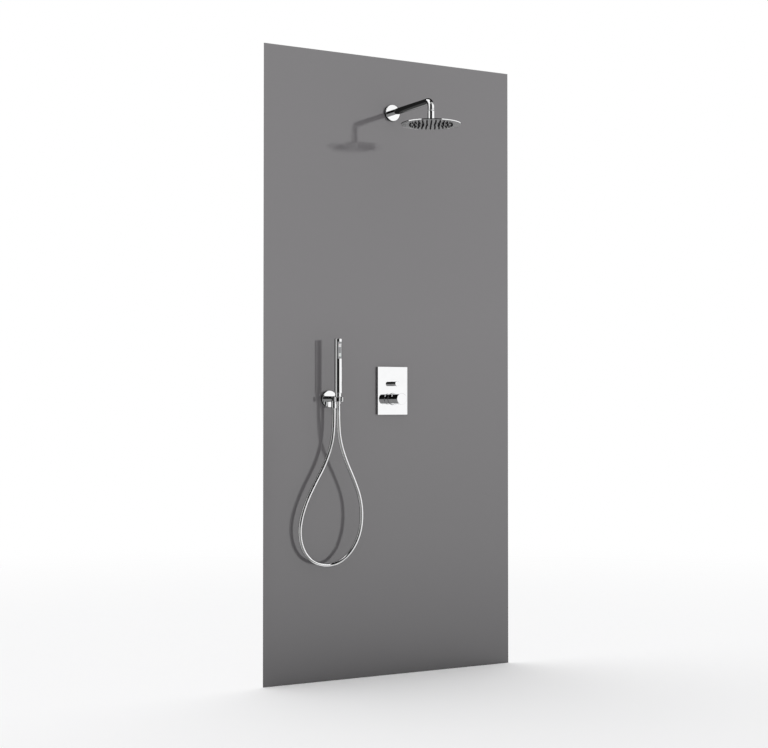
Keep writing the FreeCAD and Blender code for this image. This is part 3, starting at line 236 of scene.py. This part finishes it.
STEEL_DARK = (0.40, 0.40, 0.41)
STEEL_LIGHT = (0.60, 0.60, 0.61)
STEEL_ROUGH = (0.2, 0.38)
DRAWN_LINE = 0.0003
DRAWN_DEPTH = 0.00001
DRAWN_ALONG_Y = (1, 0.03, 1)
steel, shader, place = finish("satin_steel", {"Metallic": 1})
lengthened = place.node("Mapping", {}, {"Vector": place, "Scale": DRAWN_ALONG_Y})
drawn = grain(lengthened, DRAWN_LINE)
feed(shader["Base Color"], between(drawn, STEEL_DARK, STEEL_LIGHT))
feed(shader["Roughness"], span(drawn, *STEEL_ROUGH))
feed(shader["Normal"], relief(drawn, DRAWN_DEPTH))
dress(steel, "stem_pin", "mixer_stem")


# Diverter: a turned brass bush and spindle with a rubber seal on its end. A steel spring in
# the bush holds the spindle in, so that the water goes to the overhead shower until it is pulled.
SPRING_WIRE_RADIUS = 0.0005
SPRING_TURNS = 5
SPRING_STEPS = 200
SPRING_SIDES = 12


def round_tube(name, line, radius, sides):
    """A round tube: a ring of the given radius stands square to the line at each of its points,
    measured from the wall's own outward direction, which the line never follows. The UV map
    has the length along the line in metres, and the share of a turn round it."""
    along = np.gradient(line, axis=0)
    along /= np.linalg.norm(along, axis=1, keepdims=True)
    outward = np.array((0.0, -1.0, 0.0))
    first = outward - (along @ outward)[:, None] * along
    first /= np.linalg.norm(first, axis=1, keepdims=True)
    second = np.cross(along, first)
    turn = np.linspace(0, 2 * np.pi, sides, endpoint=False)
    ring = np.cos(turn)[:, None] * first[:, None] + np.sin(turn)[:, None] * second[:, None]
    points = (line[:, None] + radius * ring).reshape(-1, 3)
    row, side = np.meshgrid(np.arange(len(line) - 1), np.arange(sides), indexing="ij")
    corner_row = np.stack([row, row, row + 1, row + 1], -1).reshape(-1, 4)
    corner_side = np.stack([side, side + 1, side + 1, side], -1).reshape(-1, 4)
    quads = corner_row * sides + corner_side % sides
    caps = [list(range(sides))[::-1], list(range(len(points) - sides, len(points)))]
    mesh = bpy.data.meshes.new(name)
    mesh.from_pydata(points, [], quads.tolist() + caps)
    travel = np.insert(np.cumsum(np.linalg.norm(np.diff(line, axis=0), axis=1)), 0, 0.0)
    uv = np.zeros((len(mesh.loops), 2))
    uv[:quads.size, 0] = travel[corner_row].ravel()
    uv[:quads.size, 1] = (corner_side / sides).ravel()
    mesh.uv_layers.new(name="length_and_turn").data.foreach_set("uv", uv.ravel())
    mesh.polygons.foreach_set("use_smooth", np.arange(len(mesh.polygons)) < len(quads))
    tube = bpy.data.objects.new(name, mesh)
    bpy.context.scene.collection.objects.link(tube)
    return tube


def coil_line(low, high, wire_radius, turns, steps):
    """The middle of a wire wound in a box along Y: it goes round at a steady rate, one wire
    radius inside the box, while it comes steadily out from the deep end."""
    share = np.linspace(0, 1, steps)
    turn = 2 * np.pi * turns * share
    middle = (low + high) / 2
    reach = (high - low) / 2 - wire_radius
    return np.stack([
        middle[0] + reach[0] * np.cos(turn),
        middle[1] + reach[1] * (1 - 2 * share),
        middle[2] + reach[2] * np.sin(turn),
    ], -1)


spring_low, spring_high = map(np.array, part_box("diverter_spring"))
spring_long = spring_high[1] - spring_low[1]
pull = next(joint for joint in frame["joints"] if joint["name"] == "diverter_pull")
spring_line = coil_line(spring_low, spring_high, SPRING_WIRE_RADIUS, SPRING_TURNS, SPRING_STEPS)
spring = round_tube("wound_spring", spring_line, SPRING_WIRE_RADIUS, SPRING_SIDES)
spring.data.materials.append(steel)
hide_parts("diverter_spring")
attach(spring, "wall_set")
1 - pull["range_m"][1] / spring_long
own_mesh(spring)
dress(turned_brass, "diverter_housing", "diverter_spindle")
dress(rubber, "diverter_seal")


# Pipes in the wall: drawn copper tube from the valve up to the arm and across to the outlet,
# tarnished in patches. Each runs into a cast brass elbow that two screws hold by its ears.
COPPER_BRIGHT = (0.78, 0.36, 0.20)
COPPER_TARNISH = (0.40, 0.17, 0.095)
COPPER_ROUGH = (0.15, 0.5)
TARNISH_PATCH = 0.05
TARNISH_DETAIL = 5
STREAK_LINE = 0.0008
STREAK_DEPTH = 0.00003
STREAK_SHARE = 0.25
STREAK_ALONG_Z = (1, 1, 0.02)
copper, shader, place = finish("drawn_copper", {"Metallic": 1})
lengthened = place.node("Mapping", {}, {"Vector": place, "Scale": STREAK_ALONG_Z})
streak = grain(lengthened, STREAK_LINE)
tarnish = grain(place, TARNISH_PATCH, TARNISH_DETAIL)
stain = tarnish * (1 - STREAK_SHARE) + streak * STREAK_SHARE
feed(shader["Base Color"], between(stain, COPPER_BRIGHT, COPPER_TARNISH))
feed(shader["Roughness"], span(tarnish, *COPPER_ROUGH))
feed(shader["Normal"], relief(streak, STREAK_DEPTH))
dress(copper, "riser_pipe", "hand_feed_pipe")
dress(cast_brass, "arm_elbow", "outlet_elbow")


# Trim plate: pressed brass sheet with folded edges, polished and chromed. It clips over the
# valve onto a rubber gasket, and covers the hole in the wall.
CHROME_DARK = (0.91, 0.915, 0.92)
CHROME_LIGHT = (0.97, 0.972, 0.975)
CHROME_ROUGH = 0.018
POLISH_PATCH = 0.03
POLISH_DETAIL = 4
POLISH_DEPTH = 0.00001
POLISH_ROUGH = 0.08
POLISH_POWER = 3
HAZE_GRAIN = 0.0015
HAZE_ROUGH = 0.012
chrome, shader, place = finish("chrome", {"Metallic": 1})
polish = grain(place, POLISH_PATCH, POLISH_DETAIL)
haze = grain(place, HAZE_GRAIN)
dull = polish ** POLISH_POWER * POLISH_ROUGH + haze * HAZE_ROUGH
feed(shader["Base Color"], between(polish, CHROME_DARK, CHROME_LIGHT))
feed(shader["Roughness"], dull + CHROME_ROUGH)
feed(shader["Normal"], relief(polish, POLISH_DEPTH))
dress(chrome, "trim_plate")
dress(rubber, "plate_gasket", "flange_gaskets")


# Mixer handle: a short sleeve on the plate, and a turned knob that swings on it to turn the
# water on and rolls to warm it. A grub screw from below holds the knob on the cartridge stem.
SEAL_DARK = (0.10, 0.10, 0.103)
SEAL_LIGHT = (0.16, 0.16, 0.163)
SEAL_ROUGH = (0.45, 0.65)
SEAL_SKIN = 0.001
SEAL_DEPTH = 0.00002
grey_silicone, shader, place = finish("grey_silicone", {"Specular IOR Level": 0.3})
skin = grain(place, SEAL_SKIN)
feed(shader["Base Color"], between(skin, SEAL_DARK, SEAL_LIGHT))
feed(shader["Roughness"], span(skin, *SEAL_ROUGH))
feed(shader["Normal"], relief(skin, SEAL_DEPTH))
dress(chrome, "mixer_sleeve", "mixer_handle")
dress(grey_silicone, "sleeve_seal")
dress(steel, "handle_grub_screw")


# Diverter knob: a smaller turned knob above the mixer, pulled out to fill the hand shower. It
# slides in its own sleeve on the plate, and a grub screw holds it on the spindle.
dress(chrome, "diverter_sleeve", "diverter_knob")
dress(steel, "knob_grub_screw")


# Shower arm: bent brass tube, chromed, screwed into the upper elbow, with a deep round flange
# pushed over it to the wall. A flat rubber ring seals its lower end.
dress(chrome, "shower_arm", "arm_flange")
dress(rubber, "arm_seal")


# Ball joint: a chromed nipple with a ball on its end, screwed into the arm. A slit nut
# holds the head to the ball, which turns in a moulded seat.
dress(chrome, "ball_nipple", "head_nut")
dress(acetal, "ball_seat")


# Overhead shower: a thin domed disc of chromed steel, closed below by a spun plate through
# which the nozzles of one dark silicone mat stand out. A moulded washer limits the flow.
SPUN_DARK = (0.66, 0.66, 0.67)
SPUN_LIGHT = (0.84, 0.84, 0.85)
SPUN_ROUGH = (0.2, 0.32)
SPUN_RING = 0.0006
SPUN_DEPTH = 0.000012
head_low, head_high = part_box("head_shell")
head_axis = (head_low + head_high) / 2
spun_steel, shader, place = finish("spun_steel", {"Metallic": 1})
centred = place.node("VectorMath", {"operation": "SUBTRACT"}, {0: place, 1: head_axis})
flat = centred.node("VectorMath", {"operation": "MULTIPLY"}, {0: centred, 1: (1, 1, 0)})
radius = flat.node("VectorMath", {"operation": "LENGTH"}, {0: flat}, "Value")
rings = grain(radius.node("CombineXYZ", {}, {"X": radius}), SPUN_RING)
feed(shader["Base Color"], between(rings, SPUN_DARK, SPUN_LIGHT))
feed(shader["Roughness"], span(rings, *SPUN_ROUGH))
feed(shader["Normal"], relief(rings, SPUN_DEPTH))
dress(chrome, "head_shell")
dress(spun_steel, "head_face")

SILICONE_DARK = (0.005, 0.005, 0.006)
SILICONE_LIGHT = (0.016, 0.016, 0.018)
SILICONE_ROUGH = (0.42, 0.62)
SILICONE_SKIN = 0.002
SILICONE_DETAIL = 3
SILICONE_DEPTH = 0.00002
silicone, shader, place = finish("dark_silicone", {"Specular IOR Level": 0.15})
skin = grain(place, SILICONE_SKIN, SILICONE_DETAIL)
feed(shader["Base Color"], between(skin, SILICONE_DARK, SILICONE_LIGHT))
feed(shader["Roughness"], span(skin, *SILICONE_ROUGH))
feed(shader["Normal"], relief(skin, SILICONE_DEPTH))
dress(silicone, "nozzle_mat")
dress(rubber, "head_seal")
dress(acetal, "flow_restrictor")


# Wall outlet: a turned and chromed body for the hose, on a round flange like the arm's, with
# a moulded check valve in its bore that keeps water from running back.
dress(chrome, "wall_outlet", "outlet_flange")
dress(acetal, "outlet_check_valve")


# Holder: a chromed ring with a slot in front for the hose, screwed to the outlet. A liner
# moulded in black keeps the cone nut from scratching.
BLACK_DARK = (0.008, 0.008, 0.009)
BLACK_LIGHT = (0.022, 0.022, 0.024)
BLACK_ROUGH = (0.34, 0.46)
black_moulding, shader, place = finish("black_moulding", {"Specular IOR Level": 0.3})
mould = grain(place, MOULD_GRAIN)
feed(shader["Base Color"], between(mould, BLACK_DARK, BLACK_LIGHT))
feed(shader["Roughness"], span(mould, *BLACK_ROUGH))
dress(chrome, "shower_holder")
dress(black_moulding, "holder_liner")
dress(steel, "holder_grub_screw")


# Hose: a smooth silver hose with a clear skin over a close metal winding. It hangs in one
# loop from its nut under the outlet and comes back up to the swivel in the hand shower's nut.
HOSE_RADIUS = 0.007
HOSE_SIDES = 32
HOSE_STEPS = 48
OUTLET_AXIS = (-0.2775, 0.0, -0.032)
HOSE_ROUTE = [
    (0.0000, 0.0450, -0.038),
    (0.0000, 0.0450, -0.112),
    (-0.0115, 0.0430, -0.183),
    (-0.0385, 0.0410, -0.253),
    (-0.0790, 0.0395, -0.321),
    (-0.1150, 0.0380, -0.391),
    (-0.1375, 0.0370, -0.461),
    (-0.1390, 0.0360, -0.525),
    (-0.1170, 0.0355, -0.583),
    (-0.0740, 0.0365, -0.619),
    (-0.0210, 0.0410, -0.629),
    (0.0270, 0.0500, -0.616),
    (0.0685, 0.0610, -0.576),
    (0.0965, 0.0695, -0.517),
    (0.1060, 0.0735, -0.448),
    (0.0975, 0.0750, -0.375),
    (0.0690, 0.0760, -0.304),
    (0.0345, 0.0775, -0.235),
    (0.0085, 0.0795, -0.165),
    (0.0000, 0.0800, -0.095),
    (0.0000, 0.0800, -0.023),
]


def smooth_line(points, steps):
    """The points along a NURBS curve of order 3 whose control points are those given."""
    curve = bpy.data.curves.new("route", "CURVE")
    curve.dimensions = "3D"
    curve.resolution_u = steps
    spline = curve.splines.new("NURBS")
    spline.points.add(len(points) - 1)
    spline.points.foreach_set("co", np.insert(points, 3, 1.0, axis=1).ravel())
    spline.order_u = 3
    spline.use_endpoint_u = True
    carrier = bpy.data.objects.new("route", curve)
    line = bpy.data.meshes.new_from_object(carrier)
    places = np.empty(3 * len(line.vertices))
    line.vertices.foreach_get("co", places)
    bpy.data.objects.remove(carrier)
    bpy.data.curves.remove(curve)
    bpy.data.meshes.remove(line)
    return places.reshape(-1, 3)


SILVER_DARK = (0.90, 0.903, 0.906)
SILVER_LIGHT = (0.98, 0.981, 0.982)
SILVER_ROUGH = (0.03, 0.05)
WINDING_PITCH = 0.0045
WINDING_DEPTH = 0.000001
silver, shader, place = finish(
    "silver_hose",
    {"Metallic": 1, "Coat Weight": 0.3, "Coat Roughness": 0.03, "Coat IOR": 1.5},
)
unrolled = place.node("UVMap", {"uv_map": "length_and_turn"}, {})
length = unrolled.node("SeparateXYZ", {}, {0: unrolled}, "X")
round_it = unrolled.node("SeparateXYZ", {}, {0: unrolled}, "Y")
turns = length * (1 / WINDING_PITCH) + round_it
strip = turns.maths("PINGPONG", turns, 0.5) * 2
feed(shader["Base Color"], between(strip, SILVER_DARK, SILVER_LIGHT))
feed(shader["Roughness"], span(strip, *SILVER_ROUGH))
feed(shader["Normal"], relief(strip, WINDING_DEPTH))

route = np.array(HOSE_ROUTE) * (1, -1, 1) + OUTLET_AXIS
hose_line = smooth_line(route, HOSE_STEPS)
hose = round_tube("hose", hose_line, HOSE_RADIUS, HOSE_SIDES)
hose.data.materials.append(silver)
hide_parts("shower_hose")
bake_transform(hose)
dress(rubber, "outlet_washer", "filter_washer")
dress(chrome, "outlet_nut", "cone_nut")
dress(chrome, "outlet_ferrule", "hose_swivel")


# Hand shower: a chromed brass tube with a domed cap, and a grey moulded plate in its front
# with two pads of soft jets. A moulded pipe and chamber inside lead the water to the jets.
GREY_DARK = (0.24, 0.243, 0.25)
GREY_LIGHT = (0.31, 0.313, 0.32)
GREY_ROUGH = (0.3, 0.4)
GREY_GRAIN = 0.0008
GREY_DEPTH = 0.00002
spray_grey, shader, place = finish("spray_grey", {"Coat Weight": 1, "Coat Roughness": 0.05})
mould = grain(place, GREY_GRAIN)
feed(shader["Base Color"], between(mould, GREY_DARK, GREY_LIGHT))
feed(shader["Roughness"], span(mould, *GREY_ROUGH))
feed(shader["Normal"], relief(mould, GREY_DEPTH))
dress(spray_grey, "spray_plate")

JET_DARK = (0.66, 0.665, 0.675)
JET_LIGHT = (0.78, 0.785, 0.795)
JET_ROUGH = (0.4, 0.55)
JET_SKIN = 0.001
pale_silicone, shader, place = finish(
    "pale_silicone",
    {"Subsurface Weight": 0.1, "Subsurface Scale": 0.001},
)
skin = grain(place, JET_SKIN)
feed(shader["Base Color"], between(skin, JET_DARK, JET_LIGHT))
feed(shader["Roughness"], span(skin, *JET_ROUGH))
dress(pale_silicone, "handset_nozzles")
dress(chrome, "handset_tube", "handset_cap")
dress(acetal, "handset_connector", "handset_pipe", "spray_chamber")


# Floor: a pale floor under the set, painted without gloss. It fades away far out, so that no
# line shows against the white round it, and it is clear from below.
FLOOR_LEVEL = -1.102
FLOOR_HALF = 30.0
FLOOR_WHITE = (0.94, 0.94, 0.945)
FLOOR_SOLID = 2.0
FLOOR_GONE = 6.0


def studio_sheet(name, points, faces):
    """A sheet of the studio through the given points. Each face's front is the side that its
    corners go round anticlockwise."""
    mesh = bpy.data.meshes.new(name)
    mesh.from_pydata(points, [], faces)
    sheet = bpy.data.objects.new(name, mesh)
    bpy.context.scene.collection.objects.link(sheet)
    return sheet


FOUR_CORNERS = [(0, 1, 2, 3)]
floor_paint, shader, place = finish("floor_paint", {"Roughness": 1, "Specular IOR Level": 0})
feed(shader["Base Color"], (*FLOOR_WHITE, 1))
away = place.node("VectorMath", {"operation": "LENGTH"}, {0: place}, "Value")
fade = {"Value": away, "From Min": FLOOR_SOLID, "From Max": FLOOR_GONE, "To Min": 1, "To Max": 0}
solid = away.node("MapRange", {"interpolation_type": "SMOOTHSTEP"}, fade)
below = place.node("NewGeometry", {}, {}, "Backfacing")
feed(shader["Alpha"], solid * (1 - below))
floor_corners = [
    (-FLOOR_HALF, -FLOOR_HALF, FLOOR_LEVEL),
    (FLOOR_HALF, -FLOOR_HALF, FLOOR_LEVEL),
    (FLOOR_HALF, FLOOR_HALF, FLOOR_LEVEL),
    (-FLOOR_HALF, FLOOR_HALF, FLOOR_LEVEL),
]
floor = studio_sheet("floor", floor_corners, FOUR_CORNERS)
floor.data.materials.append(floor_paint)


# Board: a plain grey board in the wall's place, in glossy paint that mirrors the set. Its grey
# carries painted shade that darkens it towards the floor. It is clear from behind, so that the
# works in the wall show, and mirrors don't see it.
BOARD_LEFT, BOARD_RIGHT = -0.5506, 0.5494
BOARD_FOOT, BOARD_TOP = FLOOR_LEVEL, 1.298
BOARD_SIDES = (BOARD_LEFT, BOARD_RIGHT)
BOARD_HEIGHTS = (BOARD_FOOT, BOARD_TOP)
BOARD_BEHIND = 0.0005
BOARD_GREY = (0.137, 0.131, 0.137)
# Painted shade: the board's colour at its foot, then the height and the curve of the darkening up
# to the plain grey.
BOARD_PAINTED_SHADE = (0.046, 0.044, 0.046)
BOARD_SHADE_TOP = 0.3
BOARD_SHADE_POWER = 0.45


def wall_sheet(name, behind, sides, heights):
    """An upright sheet along the wall, a little behind its face, with its front to the room."""
    left, right = sides
    foot, top = heights
    corners = [
        (left, behind, foot),
        (right, behind, foot),
        (right, behind, top),
        (left, behind, top),
    ]
    return studio_sheet(name, corners, FOUR_CORNERS)


board_paint, shader, place = finish(
    "board_paint",
    {"Roughness": 0.08, "Specular IOR Level": 0.9, "IOR": 1.62},
)
# Painted shade: the grey darkens from a set height down to the board's foot, in place of shade
# near the floor.
height = place.node("SeparateXYZ", {}, {0: place}, "Z")
painted_shade_rise = {"Value": height, "From Min": BOARD_FOOT, "From Max": BOARD_SHADE_TOP}
painted_light_share = height.node("MapRange", {}, painted_shade_rise)
feed(shader["Base Color"], between(painted_light_share ** BOARD_SHADE_POWER, BOARD_PAINTED_SHADE, BOARD_GREY))
behind = place.node("NewGeometry", {}, {}, "Backfacing")
feed(shader["Alpha"], 1 - behind)
board = wall_sheet("backdrop", BOARD_BEHIND, BOARD_SIDES, BOARD_HEIGHTS)
board.data.materials.append(board_paint)
board.visible_glossy = False


# Far flags: black sheets all round the set that only mirrors see, and that give the chrome its
# dark bands. Bearings are in degrees to the right of straight out from the wall, and heights
# in degrees above level.
FLAG_FAR = 60.0
FLAG_STEPS = 24
FLAG_BLACK = 0.004
BAND_LEFT, BAND_END = -68, -3
BAND_HEIGHTS = (-1, 6)
FADE_END = 10
FADE_GREY = 0.3
NEAR_CEILING_HEIGHTS = (BAND_HEIGHTS[1], 38)
FAR_CEILING_LEFT = -45
FAR_CEILING_HEIGHTS = (NEAR_CEILING_HEIGHTS[1], 57)
BACK_LEFT, BACK_RIGHT = 60, 200
BACK_HEIGHTS = (25, FAR_CEILING_HEIGHTS[1])
ROOF_HEIGHTS = (FAR_CEILING_HEIGHTS[1], 90)


def mirror_only(sheet, shade):
    """Gives a sheet of the studio its shade as a plain glow, and shows it only to mirrors."""
    plain = {
        "Base Color": (0, 0, 0, 1),
        "Roughness": 1,
        "Specular IOR Level": 0,
        "Emission Color": (shade, shade, shade, 1),
        "Emission Strength": 1,
    }
    glow = finish(sheet.name + "_card", plain)[0]
    sheet.data.materials.append(glow)
    sheet.visible_camera = False
    sheet.visible_diffuse = False
    sheet.visible_shadow = False
    sheet.visible_transmission = False


def far_flag(name, bearings, heights, shade):
    """A sheet on a sphere round the set, as a grid of steps in bearing and height: a point is
    out from the wall by the cosine of its bearing, to the right by the sine, both times the
    cosine of its height, and up by the sine of its height."""
    bearing, height = np.meshgrid(
        np.radians(np.linspace(*bearings, FLAG_STEPS)),
        np.radians(np.linspace(*heights, FLAG_STEPS)),
        indexing="ij",
    )
    points = FLAG_FAR * np.stack([
        np.sin(bearing) * np.cos(height),
        -np.cos(bearing) * np.cos(height),
        np.sin(height),
    ], -1).reshape(-1, 3)
    row, column = np.meshgrid(np.arange(FLAG_STEPS - 1), np.arange(FLAG_STEPS - 1), indexing="ij")
    first = (row * FLAG_STEPS + column).ravel()
    quads = np.stack([first, first + 1, first + FLAG_STEPS + 1, first + FLAG_STEPS], -1)
    mirror_only(studio_sheet(name, points, quads.tolist()), shade)


far_flag("camera_flag", (BAND_LEFT, BAND_END), BAND_HEIGHTS, FLAG_BLACK)
far_flag("camera_flag_edge", (BAND_END, FADE_END), BAND_HEIGHTS, FADE_GREY)
far_flag("ceiling_flag_near", (BAND_LEFT, FADE_END), NEAR_CEILING_HEIGHTS, FLAG_BLACK)
far_flag("ceiling_flag_far", (FAR_CEILING_LEFT, FADE_END), FAR_CEILING_HEIGHTS, FLAG_BLACK)
far_flag("back_flag", (BACK_LEFT, BACK_RIGHT), BACK_HEIGHTS, FLAG_BLACK)
far_flag("roof_flag", (BAND_LEFT, BACK_RIGHT), ROOF_HEIGHTS, FLAG_BLACK)


# Side cards: a light sheet with a dark one above it, to the left of the set and square to
# the wall. Only mirrors see them, and they shade the left sides of the chrome pieces.
LEFT_CARD = -1.5
LEFT_CARD_OUT = 0.6
LEFT_CARD_SPLIT, LEFT_CARD_TOP = 0.3, 0.9
LEFT_CARD_LIGHT = 0.35
LEFT_CARD_DARK = 0.04


def left_card(name, foot, top, shade):
    """An upright sheet of one shade, from the wall outwards."""
    corners = [
        (LEFT_CARD, 0, foot),
        (LEFT_CARD, -LEFT_CARD_OUT, foot),
        (LEFT_CARD, -LEFT_CARD_OUT, top),
        (LEFT_CARD, 0, top),
    ]
    mirror_only(studio_sheet(name, corners, FOUR_CORNERS), shade)


left_card("left_card_light", FLOOR_LEVEL, LEFT_CARD_SPLIT, LEFT_CARD_LIGHT)
left_card("left_card_dark", LEFT_CARD_SPLIT, LEFT_CARD_TOP, LEFT_CARD_DARK)


# Wall flags: sheets close behind the board that mirrors see in its place, a painted reflection of
# the board. Four make a frame round the plate, with painted shade on the left and painted light
# on the right, and darker ones in front of them are painted shade behind the plate's left edge,
# the overhead shower's arm and the hand shower.
FRAME_BEHIND = 0.0009
FRAME_LEFT_SHADE = 0.09
FRAME_RIGHT_SHADE = 0.28
FRAME_MIDDLE_SHADE = 0.2
DARK_BEHIND = 0.0007
EDGE_WIDE = 0.02
EDGE_SHADE = 0.008
ARM_HEIGHTS = (1.03, BOARD_TOP)
ARM_SHADE = 0.012
UNDER_ARM_SIDES = (-0.28, 0.03)
UNDER_ARM_HEIGHTS = (0.75, ARM_HEIGHTS[0])
UNDER_ARM_SHADE = 0.05
STICK_SIDES = (-0.36, -0.235)
STICK_HEIGHTS = (-0.09, 0.21)
STICK_SHADE = 0.015


def wall_flag(name, behind, sides, heights, shade):
    """A sheet of one shade along the wall, which only mirrors see."""
    mirror_only(wall_sheet(name, behind, sides, heights), shade)


(plate_left, _, plate_foot), (plate_right, _, plate_top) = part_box("trim_plate")
left_of_plate = (BOARD_LEFT, plate_left)
right_of_plate = (plate_right, BOARD_RIGHT)
plate_sides = (plate_left, plate_right)
plate_heights = (plate_foot, plate_top)
above_plate = (plate_top, BOARD_TOP)
below_plate = (BOARD_FOOT, plate_foot)
edge_sides = (plate_left - EDGE_WIDE, plate_left)
wall_flag("wall_flag_left", FRAME_BEHIND, left_of_plate, BOARD_HEIGHTS, FRAME_LEFT_SHADE)
wall_flag("wall_flag_right", FRAME_BEHIND, right_of_plate, BOARD_HEIGHTS, FRAME_RIGHT_SHADE)
wall_flag("wall_flag_above", FRAME_BEHIND, plate_sides, above_plate, FRAME_MIDDLE_SHADE)
wall_flag("wall_flag_below", FRAME_BEHIND, plate_sides, below_plate, FRAME_MIDDLE_SHADE)
wall_flag("wall_flag_plate", DARK_BEHIND, edge_sides, plate_heights, EDGE_SHADE)
wall_flag("wall_flag_arm", DARK_BEHIND, BOARD_SIDES, ARM_HEIGHTS, ARM_SHADE)
wall_flag("wall_flag_below_arm", DARK_BEHIND, UNDER_ARM_SIDES, UNDER_ARM_HEIGHTS, UNDER_ARM_SHADE)
wall_flag("wall_flag_stick", DARK_BEHIND, STICK_SIDES, STICK_HEIGHTS, STICK_SHADE)


# Floor flag: a grey sheet just above the floor, to the left of a line that leaves the board's
# left edge. Only mirrors see it, and it keeps the floor's white out of the chrome's left sides.
FLOOR_FLAG_ABOVE = 0.001
FLOOR_FLAG_GAP = 0.02
FLOOR_FLAG_BEARING = 25
FLOOR_FLAG_SHADE = 0.22
flag_level = FLOOR_LEVEL + FLOOR_FLAG_ABOVE
flag_near = BOARD_LEFT - FLOOR_FLAG_GAP
flag_away = flag_near + FLAG_FAR * math.tan(math.radians(FLOOR_FLAG_BEARING))
floor_flag_corners = [
    (flag_near, 0, flag_level),
    (-FLAG_FAR, 0, flag_level),
    (-FLAG_FAR, -FLAG_FAR, flag_level),
    (flag_away, -FLAG_FAR, flag_level),
]
mirror_only(studio_sheet("floor_flag", floor_flag_corners, FOUR_CORNERS), FLOOR_FLAG_SHADE)


# Sky: an even white all round, as in a photographer's light tent. It is the only light that
# falls on the set, so the shadows are soft.
world = bpy.data.worlds.new("studio")
world.use_nodes = True
bpy.context.scene.world = world
sky = world.node_tree.nodes["Background"].inputs
feed(sky["Color"], (1, 1, 1, 1))
feed(sky["Strength"], 1)


# Camera: about six metres off with a long lens, as high as the mixer. It stands to the left of
# the set and looks along to the right. Pitch is from straight down, bearing from straight in.
CAMERA_PLACE = (-3.0066, -5.173, -0.049)
CAMERA_PITCH = 91.096
CAMERA_BEARING = 29.89
CAMERA_LENS = 71.97
camera = bpy.data.objects.new("camera", bpy.data.cameras.new("camera"))
camera.location = CAMERA_PLACE
camera.rotation_euler = (math.radians(CAMERA_PITCH), 0.0, -math.radians(CAMERA_BEARING))
camera.data.lens = CAMERA_LENS
bpy.context.scene.collection.objects.link(camera)
bpy.context.scene.camera = camera
bpy.context.scene.view_settings.view_transform = "Standard"
